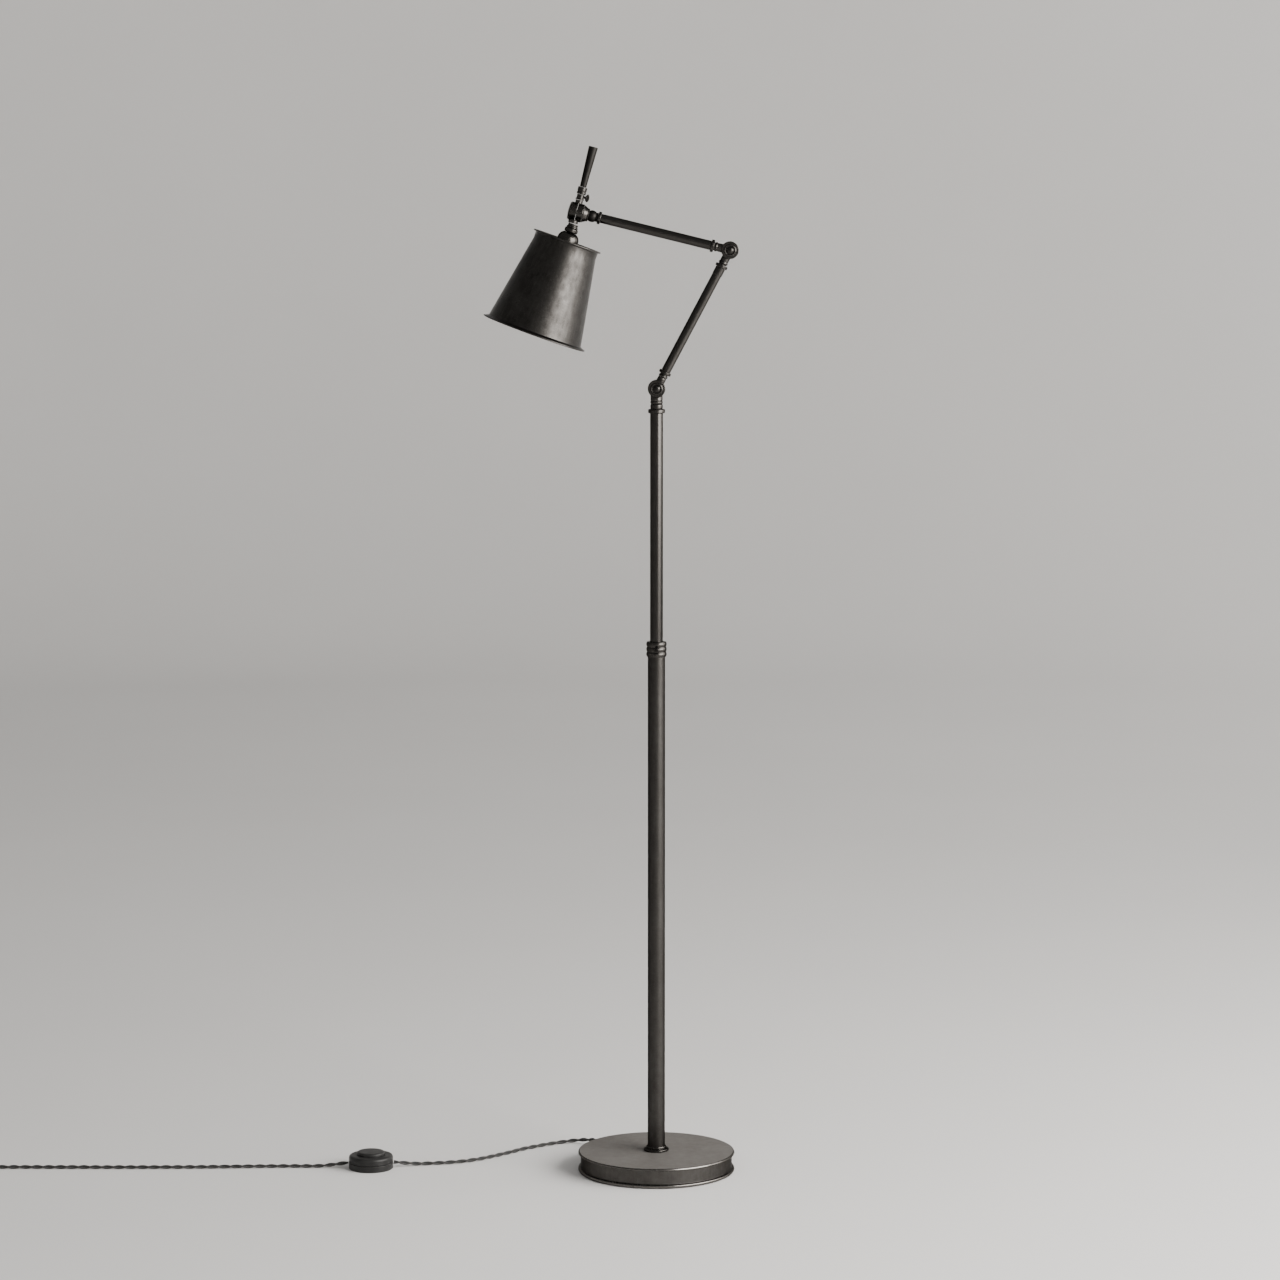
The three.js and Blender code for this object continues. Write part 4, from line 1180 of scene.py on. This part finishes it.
def hub_discs():
    """The fixed disc, and the turning one with its bosses for the handle and the shade."""
    bore = PIVOT_RADIUS + GAP
    rim = HUB_RADIUS
    near = BALL_TO_HUB - HUB_HALF_WIDTH
    middle = BALL_TO_HUB
    face = BALL_TO_HUB + HUB_HALF_WIDTH
    fixed = turned([
        [bore, near], [rim - 0.6, near], [rim, near + 0.6],
        [rim, middle - 0.7], [rim - 0.2, middle - 0.5], [bore, middle - 0.5],
    ], MEDIUM, 0.5)
    split = middle + 0.2
    turning = turned([
        [bore, split], [rim - 0.2, split], [rim, split + 0.2],
        [rim, face - 0.4], [rim - 0.4, face], [5.9, face], [5.9, face - 4],
        [bore, face - 4],
    ], MEDIUM, 0.5)
    handle_boss = moved(bar(5.6, 7, 18.6), raised(middle) @ Z_TO_X)
    shade_boss = moved(bar(7.5, 7, 17.6), raised(middle + 1) @ Z_TO_MINUS_X)
    clearance = (rim + 0.5, split - 30, split + 0.4, LARGE, 0, 0)
    handle_boss = cut(handle_boss, bar(*clearance))
    shade_boss = cut(shade_boss, bar(*clearance))
    return fixed, join(turning, handle_boss, shade_boss)


def hub_screw():
    face = BALL_TO_HUB + HUB_HALF_WIDTH
    tip = BALL_TO_HUB - HUB_HALF_WIDTH - 4.3
    return turned([
        [0, tip], [PIVOT_RADIUS, tip], [PIVOT_RADIUS, face - 3.7], [5.5, face - 3.7],
        [5.5, face - 0.6], [0, face - 0.6],
    ], SMALL, 0.4)


def hub_dome_cap():
    face = BALL_TO_HUB + HUB_HALF_WIDTH + GAP
    return turned([
        [0, face], [13.2, face], [13.1, face + 0.6], [12.3, face + 1.15], [9.8, face + 1.65],
        [7, face + 2.05], [4, face + 2.35], [0, face + 2.5],
    ], MEDIUM, 0.3)


def hub_pieces():
    fixed, turning = hub_discs()
    cup = detail("ball_cup", ball_cup(), "fitting_bronze", HEAD)
    to_head = HEAD.inverted()
    # The cup is darker from its mouth up to CUP_RIM, next to the ball.
    repaint(cup, "grip_bronze", lambda spot: (to_head @ spot).z < CUP_RIM * MM)
    fittings(HEAD, hub_fixed_disc=fixed, hub_turning_disc=turning)
    detail("hub_screw", hub_screw(), "steel", HEAD)
    fittings(HEAD, hub_dome_cap=hub_dome_cap())


# ---- handle ----
def handle_pieces():
    thumb_height = 24
    neck = turned([
        [0, 19], [6.6, 19], [6.6, 20.4], [5.5, 21.2], [5.5, 27.2], [0, 27.2],
    ], SMALL, 0.4)
    side_hole = moved(bar(2.2, 3, 13, SMALL, 0, 0), raised(thumb_height) @ Z_TO_X)
    grooved = turned([
        [0, 27.5], [6.3, 27.5], [7, 28.2], [7, 30.6], [6.4, 31.2], [6.4, 32], [7, 32.6],
        [7, 37.9], [6.3, 38.6], [0, 38.6],
    ], SMALL, 0.4)
    grip = turned([
        [0, 38.9], [4.5, 38.9], [4.9, 39.6], [7, 100.2], [6.4, 101], [0, 101],
    ], SMALL, 0.5)
    fittings(HANDLE, handle_neck=cut(neck, side_hole), handle_collar=grooved)
    detail("handle_grip", grip, "grip_bronze", HANDLE)
    detail("thumb_screw", lifted(thumb_screw(), 0, 0, thumb_height), "black_bronze", HANDLE)


def thumb_screw():
    """A winged screw along +X: a shank in the neck and a flat oval wing outside it."""
    shank = moved(bar(1.9, 3.4, 8.4), Z_TO_X)
    thickness = 2.6
    steps = 40
    outline = []
    for step in range(steps):
        angle = 2 * pi * step / steps
        outline.append((10.6 + 3.2 * cos(angle), 6 * sin(angle)))
    wing = lifted(extruded(outline, thickness, 0.6), 0, 0, -thickness / 2)
    return join(shank, moved(wing, Z_TO_FRONT))


# ---- shade ----
SHADE_BORE = SHADE_STEM_RADIUS + GAP


def shade_stem():
    """A threaded end that holds the shade, a ring and a bead."""
    thread = SHADE_STEM_RADIUS
    return turned([
        [0, -57], [thread, -57], [thread, -32.2], [8.8, -32.2], [10.2, -31.2], [10.2, -26.8],
        [9.2, -25.6], [8.2, -25], [9, -24.2], [8.6, -22.9], [7.6, -22.3], [7.6, -18.6],
        [0, -18.6],
    ], MEDIUM, 0.6)


def bell_cap():
    bottom = SHADE_TOP - 1.7
    return turned([
        [SHADE_BORE, bottom], [16.6, bottom], [16.5, -43.4], [16.1, -41], [15.4, -38.6],
        [14.2, -36.4], [12.6, -34.6], [11.2, -33.5], [9.6, -32.5], [SHADE_BORE, -32.5],
    ], MEDIUM, 0.4)


def shade_shell():
    """Spun sheet: a short band under the rolled top lip, the cone, and the mouth's flare."""
    mouth = SHADE_TOP - SHADE_LENGTH
    plate = SHADE_TOP - 2
    band_end = -58
    flare = mouth + 5
    inner = SHADE_TOP_RADIUS - SHADE_SHEET
    return turned([
        [SHADE_MOUTH_RADIUS, flare], [SHADE_TOP_RADIUS, band_end], [SHADE_TOP_RADIUS, -47.6],
        [TOP_LIP_RADIUS - 0.7, -47.2], [TOP_LIP_RADIUS, -46.4], [TOP_LIP_RADIUS - 0.4, SHADE_TOP],
        [TOP_LIP_RADIUS - 1.8, SHADE_TOP], [SHADE_TOP_RADIUS + 0.6, plate], [SHADE_BORE, plate],
        [SHADE_BORE, plate - SHADE_SHEET], [inner, plate - SHADE_SHEET], [inner, band_end],
        [SHADE_MOUTH_RADIUS - SHADE_SHEET, flare - 0.8], [MOUTH_LIP_RADIUS - 1.6, mouth],
        [MOUTH_LIP_RADIUS, mouth + 0.6], [MOUTH_LIP_RADIUS - 0.2, mouth + 2.2],
        [MOUTH_LIP_RADIUS - 1.6, mouth + 2.2],
    ], LARGE, 0.8)


def lampholder():
    """A moulded holder, wider round its skirt than at its rim."""
    top = -52.3
    rim = BULB_CAP_RIM - 1
    return turned([
        [13.8, rim], [17.6, rim], [17.6, rim + 6], [19, rim + 7], [19, top - 8], [14, top],
        [SHADE_BORE, top], [SHADE_BORE, top - 6], [13.8, top - 9],
    ], MEDIUM, 0.5)


def bulb_cap():
    """The bulb's screw cap: a rolled thread above a plain rim."""
    crest, root = 13.2, 12.4
    thread_foot, thread_top, contact = -88, -68, -64.5
    turns = 5
    pitch = (thread_top - thread_foot) / turns
    outline = [[0, BULB_CAP_RIM], [crest, BULB_CAP_RIM]]
    for turn in range(turns):
        low = thread_foot + turn * pitch
        outline += [[crest, low], [root, low + pitch / 2]]
    outline += [[crest, thread_top], [6, contact], [0, contact]]
    return turned(outline, SMALL, 0.5)


def bulb_skin(radius, neck):
    """Half the outline of a round bulb: up from its tip to the end of its neck."""
    middle = -134
    points = arc((0, middle), radius, -pi / 2, acos(neck / radius), 28)
    points[0] = [0, middle - radius]
    return [*points, [neck, BULB_CAP_RIM - 0.4]]


def bulb():
    return turned([*bulb_skin(28, 12.6), *reversed(bulb_skin(27, 11.6))], MEDIUM, 0.3)


def shade_pieces():
    hole = bar(SHADE_STEM_RADIUS + 0.4, -56, -44, SMALL, 0, 0)
    nut = cut(hexagon(13, -52, -48.5, 0.4), hole)
    fittings(SHADE, shade_stem=shade_stem(), bell_cap=bell_cap())
    detail("shade", shade_shell(), "shade_bronze", SHADE)
    detail("shade_ring_nut", nut, "brass", SHADE)
    detail("lampholder", lampholder(), "plastic", SHADE)
    detail("bulb_cap", bulb_cap(), "steel", SHADE)
    detail("bulb_glass", bulb(), "opal_glass", SHADE)


# ---- hidden CAD nodes keep their shapes ----
HIDDEN_LOOKS = {
    "base_weight": "cast_iron",
    "base_rod": "steel",
    "base_nut": "steel",
    "tube_spigot": "steel",
    "guide_bush": "nylon",
    "stop_bush": "nylon",
    "swivel_clip": "steel",
}


def dress_hidden_nodes():
    for node, look in HIDDEN_LOOKS.items():
        slots = frame["nodes"][node].data.materials
        slots.clear()
        slots.append(MATERIALS[look])


# ---- stage ----
FLOOR_RADIUS, WALL_RADIUS, WALL_HEIGHT = 6.2, 9.0, 3.4  # metres, like all of the stage
WARM, COOL = (1.0, 0.975, 0.94), (0.96, 0.98, 1.0)
# Each softbox: name, place, target, width, height, watts, colour, seen in reflections.
SOFTBOXES = [
    ("key", (2.8, -1.7, 1.85), (0, 0, 1.2), 3.3, 2.2, 350, WARM, True),
    ("side", (3.3, 0.7, 1.9), (0, 0, 1.2), 1.5, 2.2, 60, WARM, True),
    ("backdrop", (5.4, 3.6, 4.3), (4.2, 8.4, 1.2), 4.0, 1.6, 300, WARM, False),
    ("fill", (-3.2, -5.5, 4.2), (-0.4, -2.2, 0), 2.0, 2.0, 60, COOL, False),
    ("front_wall", (3.6, -2.9, 4.0), (5.6, -5.6, 0), 3.0, 1.6, 320, WARM, False),
]


def studio_paper():
    tree = new_material("studio_paper", Roughness=0.8)
    tone = noise(tree, place_in(tree), 1.2, 2)
    link(tree, Base_Color=mix(tree, tone, grey(0.66, 0.012), grey(0.70, 0.012)))


def studio_bowl():
    """A pale floor that curves up into a low wall all round, so that it backs every
    view."""
    curve = WALL_RADIUS - FLOOR_RADIUS
    outline = [(0.0, 0.0), (1.5, 0.0), (3.5, 0.0)]
    outline += arc((FLOOR_RADIUS, curve), curve, -pi / 2, 0, 16)
    outline.append((WALL_RADIUS, WALL_HEIGHT))
    shape = bmesh.new()
    rings = [circle(shape, radius, height, 128) for radius, height in outline]
    for inner, outer in zip(rings, rings[1:]):
        bridge(shape, outer, inner)
    data = mesh_of(shape, "studio_floor")
    data.polygons.foreach_set("use_smooth", [True] * len(data.polygons))
    studio_paper()
    data.materials.append(MATERIALS["studio_paper"])
    floor = put_in_scene("studio_floor", data)


def softbox(name, place, target, width, height, power, colour, reflected):
    data = bpy.data.lights.new(name, "AREA")
    data.shape = "RECTANGLE"
    data.size = width
    data.size_y = height
    data.energy = power
    data.color = colour
    light = put_in_scene(name, data)
    light.location = place
    aim = Vector(target) - Vector(place)
    light.rotation_euler = aim.to_track_quat("-Z", "Y").to_euler()
    light.visible_camera = False
    light.visible_glossy = reflected


def studio_world():
    world = bpy.data.worlds.new("studio")
    world.use_nodes = True
    sky = world.node_tree.nodes["Background"]
    sky.inputs["Color"].default_value = (1.0, 0.985, 0.955, 1.0)
    sky.inputs["Strength"].default_value = 0.32
    scene.world = world


switch_cord()
mains_cord()
base_pieces()
post_pieces()
first_knuckle()
arm_one()
arm_two()
hub_pieces()
handle_pieces()
shade_pieces()
dress_hidden_nodes()
studio_bowl()
for settings in SOFTBOXES:
    softbox(*settings)
studio_world()

bpy.context.view_layer.update()
